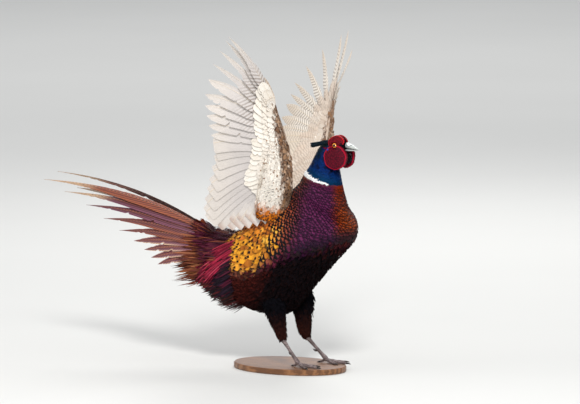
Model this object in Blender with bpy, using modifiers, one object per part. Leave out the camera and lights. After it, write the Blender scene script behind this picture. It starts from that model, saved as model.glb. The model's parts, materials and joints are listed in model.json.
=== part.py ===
"""A male common pheasant at life size, standing in its crowing display on a low oval base.

The bird faces +X with its left side at +Y, and every length below is in millimetres.
Heights are measured from the ground under its feet, which is the top of the base.
"""

import math

import bmesh
import bpy
import numpy as np
from mathutils import Vector

MM = 0.001
GAP = 0.3

# Base
BASE_LENGTH = 250.0
BASE_WIDTH = 176.0
BASE_HEIGHT = 12.0
BASE_BEVEL = 2.0
BASE_SIDES = 32
GROUND = BASE_HEIGHT + GAP

# Body ribs in the middle plane: top (x, z), bottom (x, z) and half width
TORSO_RIBS = [
    ((-160, 247), (-172, 165), 33),
    ((-153, 252), (-160, 143), 45),
    ((-140, 257), (-134, 126), 55),
    ((-112, 274), (-98, 111), 65),
    ((-84, 293), (-52, 101), 73),
    ((-56, 314), (0, 107), 78),
    ((-26, 336), (54, 166), 79),
    ((-6, 349), (90, 204), 77),
    ((9, 360), (124, 238), 72),
    ((19, 368), (149, 263), 65),
    ((26, 375), (152, 290), 57),
    ((31, 382), (135, 318), 48),
    ((35, 389), (127, 346), 41),
    ((40, 398), (121, 371), 35),
]
NECK_RIBS = [
    ((40, 398), (121, 371), 35),
    ((47, 408), (118, 392), 30),
    ((55, 420), (115, 410), 25.5),
    ((62, 434), (114, 426), 22),
    ((69, 447), (117, 436), 19),
]
HEAD_RIBS = [
    ((69, 447), (117, 436), 19),
    ((79, 458), (121, 440), 18),
    ((93, 467), (126, 442.5), 17.8),
    ((107, 474), (130, 444), 17.4),
    ((119, 477), (133, 445.5), 16),
    ((128, 475), (135.5, 446.5), 13),
    ((134, 470), (137, 447.5), 9.8),
]
BODY_SIDES = 20
TORSO_RINGS = 17
NECK_RINGS = 7
HEAD_RINGS = 9
# How much wider each body ring is below its middle than above it, as a share
BELLY_FULLNESS = 0.08

# Loose feathers of the rump and vent: root and tip (x, outward y, z), roll in degrees, half width
RUMP_TUFTS = [
    ((-142, 30, 240), (-196, 42, 214), 62, 10),
    ((-143, 39, 211), (-201, 46, 179), 79, 10),
    ((-146, 34, 176), (-206, 36, 152), 100, 11),
    ((-134, 27, 144), (-192, 27, 126), 128, 11),
    ((-130, 8, 134), (-184, 8, 124), 170, 11),
]
TUFT_CAMBER = 0.08

# Head pieces
EYE_CENTRE = (116.7, 10.6, 458.4)
EYE_RADIUS = 7.5
EYE_RINGS = 8
EYE_SIDES = 12
LID_RING = (5.9, 1.25)
LID_OUT = 15.8
LID_SPANS = 12
LID_SIDES = 4
LID_ROOM = (9.4, 16.0, 9.4)
COMB_BULBS = [
    ((105, 14.0, 469.5), (7.0, 3.4, 4.5)),
    ((116, 13.0, 473.5), (8.0, 3.6, 4.5)),
    ((127, 10.5, 472.0), (6.5, 3.2, 4.2)),
]
CHIN = ((135.5, 0, 433.8), (12.0, 7.5, 12.4))
BILL_BASE = (137.0, 459.0)
BILL_LENGTH = 28.0
# Each mandible: share of the bill's length, lower and upper height from the middle of its base, half width
BILL_UPPER = [
    (0.01, -7.0, 5.4, 7.8),
    (0.16, -7.2, 4.8, 7.4),
    (0.40, -7.6, 2.2, 6.0),
    (0.65, -8.0, -1.2, 4.4),
    (0.88, -8.6, -4.9, 2.5),
    (1.00, -9.4, -8.0, 0.9),
]
BILL_LOWER = [
    (0.01, -12.2, -7.4, 7.6),
    (0.20, -12.0, -7.6, 6.8),
    (0.45, -11.6, -8.0, 5.2),
    (0.70, -11.0, -8.5, 3.4),
    (0.86, -10.4, -9.0, 1.6),
]
BILL_SIDES = 12
NOSTRIL = ((144.2, 7.2, 459.6), (2.6, 1.6, 1.1))
WATTLE_CENTRE = (121.5, 20.0, 434.5)
WATTLE_SIZE = (24.5, 6.5, 25.0)
WATTLE_TOE_IN = math.radians(11)
WATTLE_RINGS = 8
WATTLE_SIDES = 21
WATTLE_FOLDS = 7
FOLD_DEPTH = 0.035
BULB_DEPTH = 0.9
TUFT_ROOT = (98.0, 12.0, 463.5)
TUFT_TIP = (62.0, 22.0, 456.0)
# Ear tuft: share of its length, half height and half width
EAR_TUFT = [
    (0, 3.4, 3.0),
    (0.2, 3.6, 3.0),
    (0.45, 4.4, 2.8),
    (0.7, 5.3, 2.6),
    (0.9, 5.7, 2.2),
    (1.0, 4.2, 1.4),
]

# Feather blades
SHAFT_THICK = 1.1
EDGE_THICK = 0.55
LEAST_HALF_WIDTH = 0.7
# How much of their thickness the shaft and the edges lose towards the tip
SHAFT_TAPER = 0.4
EDGE_TAPER = 0.15
QUILL_TILT = math.radians(13)
COVERT_TILT = math.radians(8)

# Tail: a short fleshy root, then feathers from the middle pair outward as (length, pitch, yaw in degrees)
TAIL_BULB = [
    ((-160.3, 247), (-172.3, 165), 32),
    ((-169, 254), (-178, 186), 28),
    ((-181, 262), (-186, 212), 20),
    ((-193, 267), (-195, 240), 11),
]
TAIL_ROOT = (-172.0, 4.4, 252.0)
TAIL_SPACING = 4.0
TAIL_STEP = 1.5
ROOF_START = 38.0
ROOF_STEP = 2.2
# Upward bow of the longest tail feather and of the shortest
TAIL_BOWS = (0.056, 0.032)
TAIL_POINT = 0.75
# How far the longest feather of each side is turned down and outward from its pair's line, in degrees
TAIL_TURN = {-1: (2.6, 3.2), 1: (0.9, -0.2)}
TAIL_FEATHERS = [
    (425, 15.5, 1.2),
    (368, 14.0, 3.0),
    (308, 12.0, 5.4),
    (258, 9.0, 8.2),
    (215, 5.5, 11.4),
    (178, 1.5, 14.8),
    (152, -3.0, 18.4),
    (136, -8.0, 22.0),
    (122, -13.0, 25.5),
]
# Width of the tail feathers inside the shaft, its growth with each pair and its limit, and outside the shaft
TAIL_INNER = (7.0, 1.8, 12.0)
TAIL_OUTER = (14.5, -0.4)
# Tail coverts: root (x, outward y, z), length, pitch, yaw and roll in degrees, half width
TAIL_COVERTS = [
    (-166, 7, 257, 96, 20, 3, 40, 9),
    (-166, 16, 250, 84, 12, 8, 48, 9),
    (-166, 22, 240, 74, 2, 12, 56, 9),
    (-180, 7, 196, 78, -24, 7, -30, 9),
]

# Arm of each wing: leading edge (x, outward y, z), depth back from it, thickness
ARM_RIGHT = [
    ((24, 36, 312), 66, 34),
    ((32, 50, 342), 66, 30),
    ((44, 60, 374), 64, 24),
    ((50, 72, 415), 58, 19),
    ((50, 79, 445), 42, 16),
    ((46, 86, 468), 31, 14),
    ((43, 98, 502), 26, 11),
    ((39, 110, 535), 19, 8),
    ((37, 118, 553), 10, 5),
]
ARM_LEFT = [
    ((24, 36, 312), 66, 34),
    ((32, 50, 342), 66, 30),
    ((44, 60, 372), 64, 24),
    ((50, 72, 408), 58, 19),
    ((49, 79, 436), 42, 16),
    ((46, 86, 456), 31, 14),
    ((42, 97, 486), 26, 11),
    ((37, 107, 514), 19, 8),
    ((35, 114, 529), 10, 5),
]
ARM_CHORD = (-0.77, 0.0, -0.64)
ARM_SIDES = 10
# Key flight feathers: number from the outermost, place along the arm, tip (x, outward y, z)
QUILLS_RIGHT = [
    (0, 7.7, (1, 234, 692)),
    (1, 7.4, (-12, 224, 682)),
    (3, 6.7, (-58, 200, 631)),
    (5, 6.1, (-91, 178, 566)),
    (7, 5.6, (-101, 158, 520)),
    (9, 5.1, (-103, 139, 478)),
    (11, 4.6, (-106, 118, 435)),
    (13, 4.0, (-129, 98, 374)),
    (16, 3.1, (-153, 78, 300)),
    (18, 2.5, (-112, 64, 289)),
    (21, 1.7, (-42, 62, 306)),
]
QUILLS_LEFT = [
    (0, 7.7, (6, 234, 628)),
    (1, 7.4, (2, 225, 668)),
    (2, 7.0, (-9, 215, 660)),
    (3, 6.7, (-44, 197, 629)),
    (4, 6.4, (-73, 180, 594)),
    (5, 6.1, (-92, 166, 560)),
    (6, 5.8, (-95, 154, 537)),
    (8, 5.3, (-104, 134, 490)),
    (11, 4.6, (-111, 114, 424)),
    (13, 4.0, (-128, 95, 373)),
    (16, 3.1, (-148, 76, 306)),
    (18, 2.5, (-112, 64, 289)),
    (21, 1.7, (-42, 62, 306)),
]
QUILLS = 22
PRIMARIES = 10
NARROW_PRIMARIES = {-1: 4, 1: 7}
# Widths before and behind the shaft, and how pointed the tip is
NARROW_VANE = (6.5, 12.5, 0.85)
PRIMARY_VANE = (8.5, 19.0, 0.6)
SECONDARY_VANE = (11.0, 20.0, 0.3)
QUILL_DEPTH = 0.6
QUILL_SWEEP = 0.05
QUILL_CAMBER = 0.03
# Tiers of coverts: feather numbers, depth and rise of the roots in the arm as shares of it, length as a
# share of the flight feather, rise over the flight feather, widths before and behind the shaft
COVERT_TIERS = [
    ((1, 20, 2), 0.50, 0.20, 0.36, 5.4, 9.0, 13.0),
    ((2, 20, 2), 0.50, -0.20, 0.32, -6.8, 9.0, 13.0),
    ((4, 19, 4), 0.36, 0.26, 0.20, 10.0, 9.0, 13.0),
    ((5, 19, 4), 0.36, -0.26, 0.18, -11.4, 9.0, 13.0),
]
COVERT_POINT = 0.25
# Thumb feathers: place along the arm and length, then their widths and the rise of each over the last
ALULA = [(5.3, 46), (5.1, 36), (4.9, 26)]
ALULA_WIDTHS = (3.5, 7.0)
ALULA_RISE = 1.4

# Legs: ankle, foot ball and toe spread
LEGS = {
    "right": (-1, [(-16, 42, 142, 26, 20), (-9, 41, 110, 19, 16), (-2, 40, 86, 13.5, 12.5),
                   (3, 39.5, 69, 11.5, 10.5), (6.5, 39, 57, 6.0, 5.5)], (7.5, 38.5, 53), (43, 40, 10)),
    "left": (1, [(-2, 42, 142, 28, 20), (6, 41, 108, 20, 16), (9, 40, 76, 15, 13),
                 (13, 39.5, 60, 9.5, 8.5), (16.5, 39, 53, 6.0, 5.5)], (18, 38.5, 50), (61, 40, 10)),
}
TOES = [("inner", 27, 36), ("middle", -3, 47), ("outer", -34, 38), ("hind", 168, 12)]
TOE_RADIUS = 3.4
TOE_STATIONS = 5
TOE_SIDES = 7
TOE_HEIGHT = 2.6
KNUCKLE_SPACING = 14.0
KNUCKLE_SWELL = 0.12
# Claw: distance from the toe, drop, half width and half height
CLAW = [(0, 0, 1.9, 1.7), (4, 0, 1.6, 1.4), (8, 0.8, 1.0, 0.8), (10, 1.7, 0.35, 0.3)]
CLAW_SIDES = 6
# Shank below the ankle: share of the way to the ball of the foot, half widths
SHANK = [(0, 5.2, 4.8), (0.12, 4.4, 3.8), (0.3, 3.6, 3.0), (0.6, 3.5, 3.0), (0.86, 4.2, 3.6)]
# Spur on the inner side of the shank: length along it, rise and radius
SPUR = [(0, 0, 2.6), (6, 0, 2.2), (9, 1.5, 1.5), (12, 4, 0.5)]
SPUR_PLACE = 0.62


def clear_scene():
    for obj in list(bpy.data.objects):
        bpy.data.objects.remove(obj, do_unlink=True)


def new_collection(name, hidden=False):
    collection = bpy.data.collections.new(name)
    collection.hide_render = hidden
    bpy.context.scene.collection.children.link(collection)
    return collection


def material(name, colour, roughness=0.6, metallic=0.0):
    made = bpy.data.materials.new(name)
    made.use_nodes = True
    shader = made.node_tree.nodes["Principled BSDF"]
    shader.inputs["Base Color"].default_value = (*colour, 1.0)
    shader.inputs["Roughness"].default_value = roughness
    shader.inputs["Metallic"].default_value = metallic
    return made


def solid(name, verts, faces, collection):
    """An object from points in millimetres above the ground, its faces turned outward."""
    mesh = bpy.data.meshes.new(name)
    mesh.from_pydata([(x * MM, y * MM, (z + GROUND) * MM) for x, y, z in verts], [], faces)
    shape = bmesh.new()
    shape.from_mesh(mesh)
    bmesh.ops.recalc_face_normals(shape, faces=shape.faces)
    shape.to_mesh(mesh)
    shape.free()
    obj = bpy.data.objects.new(name, mesh)
    collection.objects.link(obj)
    return obj


def loft(rings):
    """Points and triangles of a closed solid through rings of equal count, its ends closed by flat fans."""
    count = len(rings[0])
    verts = [tuple(point) for ring in rings for point in ring]
    faces = []
    for k in range(len(rings) - 1):
        for j in range(count):
            a = k * count + j
            b = k * count + (j + 1) % count
            faces += [(a, b, b + count), (a, b + count, a + count)]
    for k in (0, len(rings) - 1):
        centre = sum((Vector(point) for point in rings[k]), Vector()) / count
        verts.append(tuple(centre))
        for j in range(count):
            edge = (k * count + j, k * count + (j + 1) % count)
            faces.append((*edge[:: 1 if k else -1], len(verts) - 1))
    return verts, faces


def smooth(keys, count):
    """Rows between the key rows, on a Catmull-Rom curve through them."""
    keys = np.array(keys, float)
    padded = np.vstack([2 * keys[0] - keys[1], keys, 2 * keys[-1] - keys[-2]])
    rows = []
    for place in np.linspace(0, len(keys) - 1, count):
        k = min(int(place), len(keys) - 2)
        t = place - k
        a, b, c, d = padded[k : k + 4]
        square = (2 * a - 5 * b + 4 * c - d) * t**2
        cube = (3 * b - a - 3 * c + d) * t**3
        rows.append((2 * b + (c - a) * t + square + cube) / 2)
    return rows


def between(rows, place):
    """The row at a fractional place in a list of rows of numbers."""
    rows = np.array(rows, float)
    k = min(int(place), len(rows) - 2)
    return rows[k] + (rows[k + 1] - rows[k]) * (place - k)


def body_rings(ribs, count, grow=0.0, ends=-GAP / 2):
    """Rings of a body length. Each rib is an ellipse a little fuller below, and grow widens it all round."""
    rows = smooth([(*top, *bottom, half) for top, bottom, half in ribs], count)
    rings = []
    for index, (top_x, top_z, low_x, low_z, half) in enumerate(rows):
        top = Vector((top_x, 0, top_z))
        low = Vector((low_x, 0, low_z))
        up = (top - low).normalized()
        along = up.cross(Vector((0, 1, 0)))
        shift = 0.0
        if index == 0:
            shift = -ends
        if index == count - 1:
            shift = ends
        centre = (top + low) / 2 - along * shift
        height = (top - low).length / 2 + grow
        ring = []
        for j in range(BODY_SIDES):
            angle = 2 * math.pi * j / BODY_SIDES
            side = (half + grow) * math.sin(angle) * (1 - BELLY_FULLNESS * math.cos(angle))
            ring.append(centre + up * height * math.cos(angle) + Vector((0, side, 0)))
        rings.append(ring)
    return rings


def ellipsoid(centre, radii, rings=8, sides=12):
    """A closed ellipsoid with its poles along Y."""
    loops = []
    for k in range(1, rings):
        angle = math.pi * k / rings
        loops.append([
            (
                centre[0] + radii[0] * math.sin(angle) * math.cos(2 * math.pi * j / sides),
                centre[1] - radii[1] * math.cos(angle),
                centre[2] + radii[2] * math.sin(angle) * math.sin(2 * math.pi * j / sides),
            )
            for j in range(sides)
        ])
    verts, faces = loft(loops)
    verts[-2] = (centre[0], centre[1] - radii[1], centre[2])
    verts[-1] = (centre[0], centre[1] + radii[1], centre[2])
    return verts, faces


def tube(path, sizes, across, sides=8, floor=None):
    """Rings of a tube along the path. sizes holds its half widths, and across is its flat direction."""
    rings = []
    for k, point in enumerate(path):
        ahead = Vector(path[min(k + 1, len(path) - 1)]) - Vector(path[max(k - 1, 0)])
        ahead.normalize()
        flat = Vector(across) - ahead * ahead.dot(Vector(across))
        flat.normalize()
        over = ahead.cross(flat)
        wide, deep = sizes[k]
        ring = []
        for j in range(sides):
            angle = 2 * math.pi * (j + 0.5) / sides
            spot = Vector(point) + flat * wide * math.cos(angle) + over * deep * math.sin(angle)
            if floor is not None:
                spot.z = max(spot.z, floor)
            ring.append(spot)
        rings.append(ring)
    return rings


def shaft_frame(root, tip, overs, t, sweep, camber, side):
    """A point on a feather's bowed shaft, the way back across its blade and the way its upper face looks."""
    ahead = (tip - root).normalized()
    over = overs[0].lerp(overs[1], t)
    over = (over - ahead * ahead.dot(over)).normalized()
    back = ahead.cross(over) * side
    bow = 4 * t * (1 - t) * (tip - root).length
    return root.lerp(tip, t) - back * sweep * bow + over * camber * bow, back, over


def blade_width(t, pointed):
    """Share of a feather's full width at a share of its length, narrower at the quill and near the tip."""
    if t < 0.5:
        return min(1.0, 0.16 + 2.6 * t)
    blunt = 1 - pointed
    rounded = (1 - (2 * t - 1) ** (1 + 2.2 * blunt)) ** (0.55 + 0.45 * pointed)
    return max(0.1 + 0.3 * blunt, rounded)


def vane(root, tip, overs, lead, trail, tilt=0.0, sweep=0.0, camber=0.0, pointed=0.5, steps=4, side=1):
    """A thin tapering feather blade from root to tip.

    overs is the way its upper face looks at the root and at the tip. lead and trail are the widths of the
    blade on either side of its shaft, tilt turns the leading edge up, and sweep and camber bow the shaft
    back and up.
    """
    loops = []
    for k in range(steps + 1):
        t = 1 - (1 - k / steps) ** 1.5
        spot, back, over = shaft_frame(root, tip, overs, t, sweep, camber, side)
        turned_back = back * math.cos(tilt) - over * math.sin(tilt)
        turned_over = over * math.cos(tilt) + back * math.sin(tilt)
        full = blade_width(t, pointed)
        thick = SHAFT_THICK / 2 * (1 - SHAFT_TAPER * t)
        edge = EDGE_THICK / 2 * (1 - EDGE_TAPER * t)
        front = spot - turned_back * max(lead * full, LEAST_HALF_WIDTH)
        rear = spot + turned_back * max(trail * full, LEAST_HALF_WIDTH)
        loops.append([
            front + turned_over * edge,
            spot + turned_over * thick,
            rear + turned_over * edge,
            rear - turned_over * edge,
            spot - turned_over * thick,
            front - turned_over * edge,
        ])
    return blade(loops)


def blade(loops):
    """Triangles of a thin blade of six-point loops, split alike on its upper and lower faces."""
    verts = [tuple(point) for loop in loops for point in loop]
    faces = []
    for k in range(len(loops) - 1):
        a = 6 * k
        b = a + 6
        for near, far in ((1, 0), (1, 2), (4, 5), (4, 3)):
            faces += [(a + near, a + far, b + far), (a + near, b + far, b + near)]
        for one, two in ((0, 5), (2, 3)):
            faces += [(a + one, a + two, b + two), (a + one, b + two, b + one)]
    for a in (0, 6 * (len(loops) - 1)):
        faces += [(a, a + 1, a + 5), (a + 1, a + 4, a + 5), (a + 1, a + 2, a + 4), (a + 2, a + 3, a + 4)]
    return verts, faces


def boolean(obj, others, operation, collection, solver="EXACT"):
    """Joins the other shapes to an object, or cuts them from it, and removes them."""
    tools = new_collection(obj.name + "_tools", hidden=True)
    for index, (verts, faces) in enumerate(others):
        tool = solid(f"{obj.name}_tool_{index}", verts, faces, tools)
        tool.hide_render = True
        tool.display_type = "WIRE"
    step = obj.modifiers.new(operation.title(), "BOOLEAN")
    step.operand_type = "COLLECTION"
    step.collection = tools
    step.operation = operation
    step.solver = solver
    graph = bpy.context.evaluated_depsgraph_get()
    result = bpy.data.meshes.new_from_object(obj.evaluated_get(graph))
    obj.modifiers.clear()
    obj.data = result
    for tool in list(tools.objects):
        bpy.data.objects.remove(tool, do_unlink=True)
    bpy.data.collections.remove(tools)
    keep_largest(obj)


def keep_largest(obj):
    """Leaves an object its largest closed surface alone, with points closer than a micron joined."""
    shape = bmesh.new()
    shape.from_mesh(obj.data)
    bmesh.ops.remove_doubles(shape, verts=shape.verts, dist=2e-6)
    bmesh.ops.dissolve_degenerate(shape, edges=shape.edges, dist=2e-6)
    bmesh.ops.triangulate(shape, faces=shape.faces)
    unseen = set(shape.faces)
    pieces = []
    while unseen:
        stack = [unseen.pop()]
        piece = list(stack)
        while stack:
            for edge in stack.pop().edges:
                for face in edge.link_faces:
                    if face in unseen:
                        unseen.discard(face)
                        stack.append(face)
                        piece.append(face)
        pieces.append(piece)
    pieces.sort(key=lambda piece: sum(face.calc_area() for face in piece))
    for piece in pieces[:-1]:
        bmesh.ops.delete(shape, geom=piece, context="FACES")
    loose = [vert for vert in shape.verts if not vert.link_faces]
    bmesh.ops.delete(shape, geom=loose, context="VERTS")
    shape.to_mesh(obj.data)
    shape.free()


def finish(obj, look):
    obj.data.materials.clear()
    obj.data.materials.append(look)
    for polygon in obj.data.polygons:
        polygon.use_smooth = True
    obj.data.set_sharp_from_angle(angle=math.radians(40))


def mirrored(point, sign):
    return Vector((point[0], point[1] * sign, point[2]))


def make_base(parts, look):
    bpy.ops.mesh.primitive_cylinder_add(vertices=BASE_SIDES, radius=1, depth=1)
    base = bpy.context.active_object
    base.name = "stand_base"
    for vert in base.data.vertices:
        vert.co.x *= BASE_LENGTH / 2 * MM
        vert.co.y *= BASE_WIDTH / 2 * MM
        vert.co.z = (vert.co.z + 0.5) * BASE_HEIGHT * MM
    bevel = base.modifiers.new("Edge", "BEVEL")
    bevel.width = BASE_BEVEL * MM
    bevel.segments = 1
    bevel.limit_method = "ANGLE"
    for collection in list(base.users_collection):
        collection.objects.unlink(base)
    parts.objects.link(base)
    finish(base, look)


def make_body(parts, looks):
    torso = solid("torso", *loft(body_rings(TORSO_RIBS, TORSO_RINGS)), parts)
    tufts = []
    for sign in (-1, 1):
        for start, end, roll, width in RUMP_TUFTS:
            over = Vector((0, math.sin(math.radians(roll)) * sign, math.cos(math.radians(roll))))
            ends = (mirrored(start, sign), mirrored(end, sign))
            tufts.append(vane(*ends, (over, over), width, width, camber=TUFT_CAMBER, steps=3, side=sign))
    boolean(torso, tufts, "UNION", parts)
    finish(torso, looks["copper"])
    neck = solid("neck", *loft(body_rings(NECK_RIBS, NECK_RINGS)), parts)
    finish(neck, looks["blue"])
    return torso


def make_head(parts, looks):
    head = solid("head", *loft(body_rings(HEAD_RIBS, HEAD_RINGS)), parts)
    added = [ellipsoid(*CHIN, 6, 12)]
    sockets = []
    for sign in (-1, 1):
        added += [ellipsoid(mirrored(centre, sign), radii, 6, 8) for centre, radii in COMB_BULBS]
        added.append(lid(sign))
        sockets.append(ellipsoid(mirrored(EYE_CENTRE, sign), (EYE_RADIUS + GAP,) * 3, EYE_RINGS, EYE_SIDES))
    boolean(head, added, "UNION", parts)
    boolean(head, sockets, "DIFFERENCE", parts)
    finish(head, looks["blue"])
    for name, sign in (("right", -1), ("left", 1)):
        ball = ellipsoid(mirrored(EYE_CENTRE, sign), (EYE_RADIUS,) * 3, EYE_RINGS, EYE_SIDES)
        eye = solid("eye_" + name, *ball, parts)
        finish(eye, looks["eye"])


def lid(sign):
    """The ring of bare skin round one eye."""
    reach, thick = LID_RING
    loops = []
    for k in range(LID_SPANS):
        turn = 2 * math.pi * k / LID_SPANS
        outward = Vector((math.cos(turn), 0, math.sin(turn)))
        centre = Vector((EYE_CENTRE[0], LID_OUT * sign, EYE_CENTRE[2])) + outward * reach
        loops.append([
            centre + outward * thick * math.cos(angle) + Vector((0, thick * 1.3 * math.sin(angle), 0))
            for angle in (2 * math.pi * j / LID_SIDES for j in range(LID_SIDES))
        ])
    verts = [tuple(point) for loop in loops for point in loop]
    faces = []
    for k in range(LID_SPANS):
        onward = (k + 1) % LID_SPANS
        for j in range(LID_SIDES):
            beside = (j + 1) % LID_SIDES
            a = LID_SIDES * k + j
            b = LID_SIDES * k + beside
            c = LID_SIDES * onward + beside
            d = LID_SIDES * onward + j
            faces += [(a, b, c), (a, c, d)]
    return verts, faces


def bill_rings(rows):
    """Rings of one mandible, from the rows that describe it."""
    base_x, middle = BILL_BASE
    rings = []
    for share, low, high, half in rows:
        ring = []
        for j in range(BILL_SIDES):
            angle = 2 * math.pi * j / BILL_SIDES
            height = middle + (low + high) / 2 + (high - low) / 2 * math.cos(angle)
            ring.append(Vector((base_x + share * BILL_LENGTH, half * math.sin(angle), height)))
        rings.append(ring)
    return rings


def make_bill(parts, looks):
    top = solid("bill_upper", *loft(bill_rings(BILL_UPPER)), parts)
    centre, radii = NOSTRIL
    nostrils = [ellipsoid(mirrored(centre, sign), radii, 6, 10) for sign in (-1, 1)]
    boolean(top, nostrils, "DIFFERENCE", parts)
    finish(top, looks["bill"])
    finish(solid("bill_lower", *loft(bill_rings(BILL_LOWER)), parts), looks["bill"])


def make_wattles(parts, looks):
    near_head = loft(body_rings(HEAD_RIBS, HEAD_RINGS, GAP, GAP))
    near_neck = loft(body_rings(NECK_RIBS, NECK_RINGS, GAP, GAP))
    for name, sign in (("right", -1), ("left", 1)):
        verts, faces = ellipsoid((0, 0, 0), WATTLE_SIZE, WATTLE_RINGS, WATTLE_SIDES)
        shaped = []
        for x, y, z in verts:
            reach = math.hypot(x / WATTLE_SIZE[0], z / WATTLE_SIZE[2])
            turn = math.atan2(z, x)
            folds = 1 + FOLD_DEPTH * math.sin(WATTLE_FOLDS * turn) * reach
            bulge = BULB_DEPTH * math.sin(3.2 * math.pi * reach) * math.sin(0.5 * math.pi * reach)
            x *= folds
            z *= folds
            y += math.copysign(bulge, y) if abs(y) > 1 else 0
            outward = y - x * math.sin(WATTLE_TOE_IN)
            shaped.append((
                WATTLE_CENTRE[0] + x,
                sign * (WATTLE_CENTRE[1] + outward),
                WATTLE_CENTRE[2] + z,
            ))
        wattle = solid("wattle_" + name, shaped, faces, parts)
        lid_room = ellipsoid(mirrored(EYE_CENTRE, sign), LID_ROOM, EYE_RINGS, 14)
        near_chin = ellipsoid(CHIN[0], [radius + GAP for radius in CHIN[1]], 6, 12)
        boolean(wattle, [near_head, near_neck, near_chin, lid_room], "DIFFERENCE", parts)
        finish(wattle, looks["wattle"])


def make_ear_tufts(parts, looks):
    near_head = loft(body_rings(HEAD_RIBS, HEAD_RINGS, GAP, GAP))
    near_neck = loft(body_rings(NECK_RIBS, NECK_RINGS, GAP, GAP))
    for name, sign in (("right", -1), ("left", 1)):
        root = mirrored(TUFT_ROOT, sign)
        tip = mirrored(TUFT_TIP, sign)
        path = [root.lerp(tip, share) for share, high, wide in EAR_TUFT]
        tuft = solid("ear_tuft_" + name, *loft(tube(path, [row[1:] for row in EAR_TUFT], (0, 0, 1))), parts)
        boolean(tuft, [near_head, near_neck], "DIFFERENCE", parts)
        finish(tuft, looks["blue"])


def arm_frame(arm, place, sign):
    """The leading edge, chord, upper side, depth and thickness of an arm at a place along it."""
    rows = [(*edge, depth, thick) for edge, depth, thick in arm]
    x, y, z, depth, thick = between(rows, place)
    ahead = Vector(between([row[:3] for row in rows], min(place + 0.5, len(rows) - 1)))
    ahead -= Vector(between([row[:3] for row in rows], max(place - 0.5, 0)))
    ahead = mirrored(ahead, sign).normalized()
    chord = Vector(ARM_CHORD)
    chord = (chord - ahead * ahead.dot(chord)).normalized()
    over = ahead.cross(chord) * sign
    return mirrored((x, y, z), sign), chord, over, depth, thick


def arm_solid(arm, sign):
    rings = []
    for place in range(len(arm)):
        edge, chord, over, depth, thick = arm_frame(arm, place, sign)
        centre = edge + chord * depth / 2
        rings.append([
            centre - chord * depth / 2 * math.cos(angle) + over * thick / 2 * math.sin(angle)
            for angle in (2 * math.pi * j / ARM_SIDES for j in range(ARM_SIDES))
        ])
    return loft(rings)


def quill_rows(keys):
    """Place along the arm and tip of every flight feather, on a smooth curve through the key ones."""
    numbers = [number for number, place, tip in keys]
    rows = []
    for number in range(QUILLS):
        spot = np.interp(number, numbers, range(len(keys)))
        table = smooth([(place, *tip) for _, place, tip in keys], 12 * (len(keys) - 1) + 1)
        rows.append(between(table, spot * 12))
    return rows


def fan_overs(spots, aheads, frames):
    """The way up from a fan of feathers along one line across it, evened out over the neighbours."""
    overs = []
    for number, ahead in enumerate(aheads):
        low = max(number - 1, 0)
        high = min(number + 1, QUILLS - 1)
        over = ahead.cross(spots[high] - spots[low]).normalized()
        overs.append(over if over.dot(frames[number][2]) > 0 else -over)
    return [sum(overs[max(number - 3, 0) : number + 4], Vector()).normalized() for number in range(QUILLS)]


def flight_feathers(arm, keys, sign):
    """Root, tip, upper side at both and the arm's frame for each flight feather, from the wing tip in."""
    rows = quill_rows(keys)
    tips = [mirrored(row[1:], sign) for row in rows]
    frames = [arm_frame(arm, row[0], sign) for row in rows]
    roots = [edge + chord * depth * QUILL_DEPTH for edge, chord, over, depth, thick in frames]
    aheads = [(tip - root).normalized() for root, tip in zip(roots, tips)]
    overs = zip(fan_overs(roots, aheads, frames), fan_overs(tips, aheads, frames))
    return list(zip(roots, tips, overs, frames))


def flight_vane(number, feather, sign):
    root, tip, overs, frame = feather
    steps = 4
    if number < NARROW_PRIMARIES[sign]:
        lead, trail, pointed = NARROW_VANE
        trail += number
    elif number < PRIMARIES:
        lead, trail, pointed = PRIMARY_VANE
    else:
        lead, trail, pointed = SECONDARY_VANE
        steps = 3
    return vane(root, tip, overs, lead, trail, QUILL_TILT, QUILL_SWEEP, QUILL_CAMBER, pointed, steps, -sign)


def covert_row(feathers, sign, tier):
    """One row of coverts along the flight feathers, above them, or below where the rises are negative."""
    numbers, root_depth, root_rise, share, rise, lead, trail = tier
    vanes = []
    for number in range(*numbers):
        root, tip, overs, (edge, chord, over, depth, thick) = feathers[number]
        spot, back, end_over = shaft_frame(root, tip, overs, share, QUILL_SWEEP, QUILL_CAMBER, -sign)
        start = edge + chord * depth * root_depth + over * thick * root_rise
        bows = (QUILL_SWEEP * share, QUILL_CAMBER * share)
        end = spot + end_over * rise
        ends = (overs[0], end_over)
        vanes.append(vane(start, end, ends, lead, trail, COVERT_TILT, *bows, COVERT_POINT, 3, -sign))
    return vanes


def alula(arm, sign):
    """The small feathers of the thumb, along the leading edge of the hand."""
    vanes = []
    for layer, (place, reach) in enumerate(ALULA):
        edge, chord, over, depth, thick = arm_frame(arm, place, sign)
        ahead = (mirrored(arm[-1][0], sign) - edge).normalized()
        start = edge + chord * 5 + over * (thick * 0.3 + ALULA_RISE * layer)
        end = start + ahead * reach + over * 2.5
        shape = {"camber": 0.03, "pointed": 0.4, "steps": 3}
        vanes.append(vane(start, end, (over, over), *ALULA_WIDTHS, **shape, side=-sign))
    return vanes


def make_wing(parts, look, name, sign, arm, keys, near_torso):
    wing = solid("wing_" + name, *arm_solid(arm, sign), parts)
    feathers = flight_feathers(arm, keys, sign)
    vanes = [flight_vane(number, feather, sign) for number, feather in enumerate(feathers)]
    for tier in COVERT_TIERS:
        vanes += covert_row(feathers, sign, tier)
    boolean(wing, vanes + alula(arm, sign), "UNION", parts)
    boolean(wing, [near_torso], "DIFFERENCE", parts)
    finish(wing, look)


def tail_reach(length, pitch, yaw):
    """From the root to the tip of a feather that points back, pitch up and yaw to the side."""
    return Vector((
        -length * math.cos(pitch) * math.cos(yaw),
        length * math.cos(pitch) * math.sin(yaw),
        length * math.sin(pitch),
    ))


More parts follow.
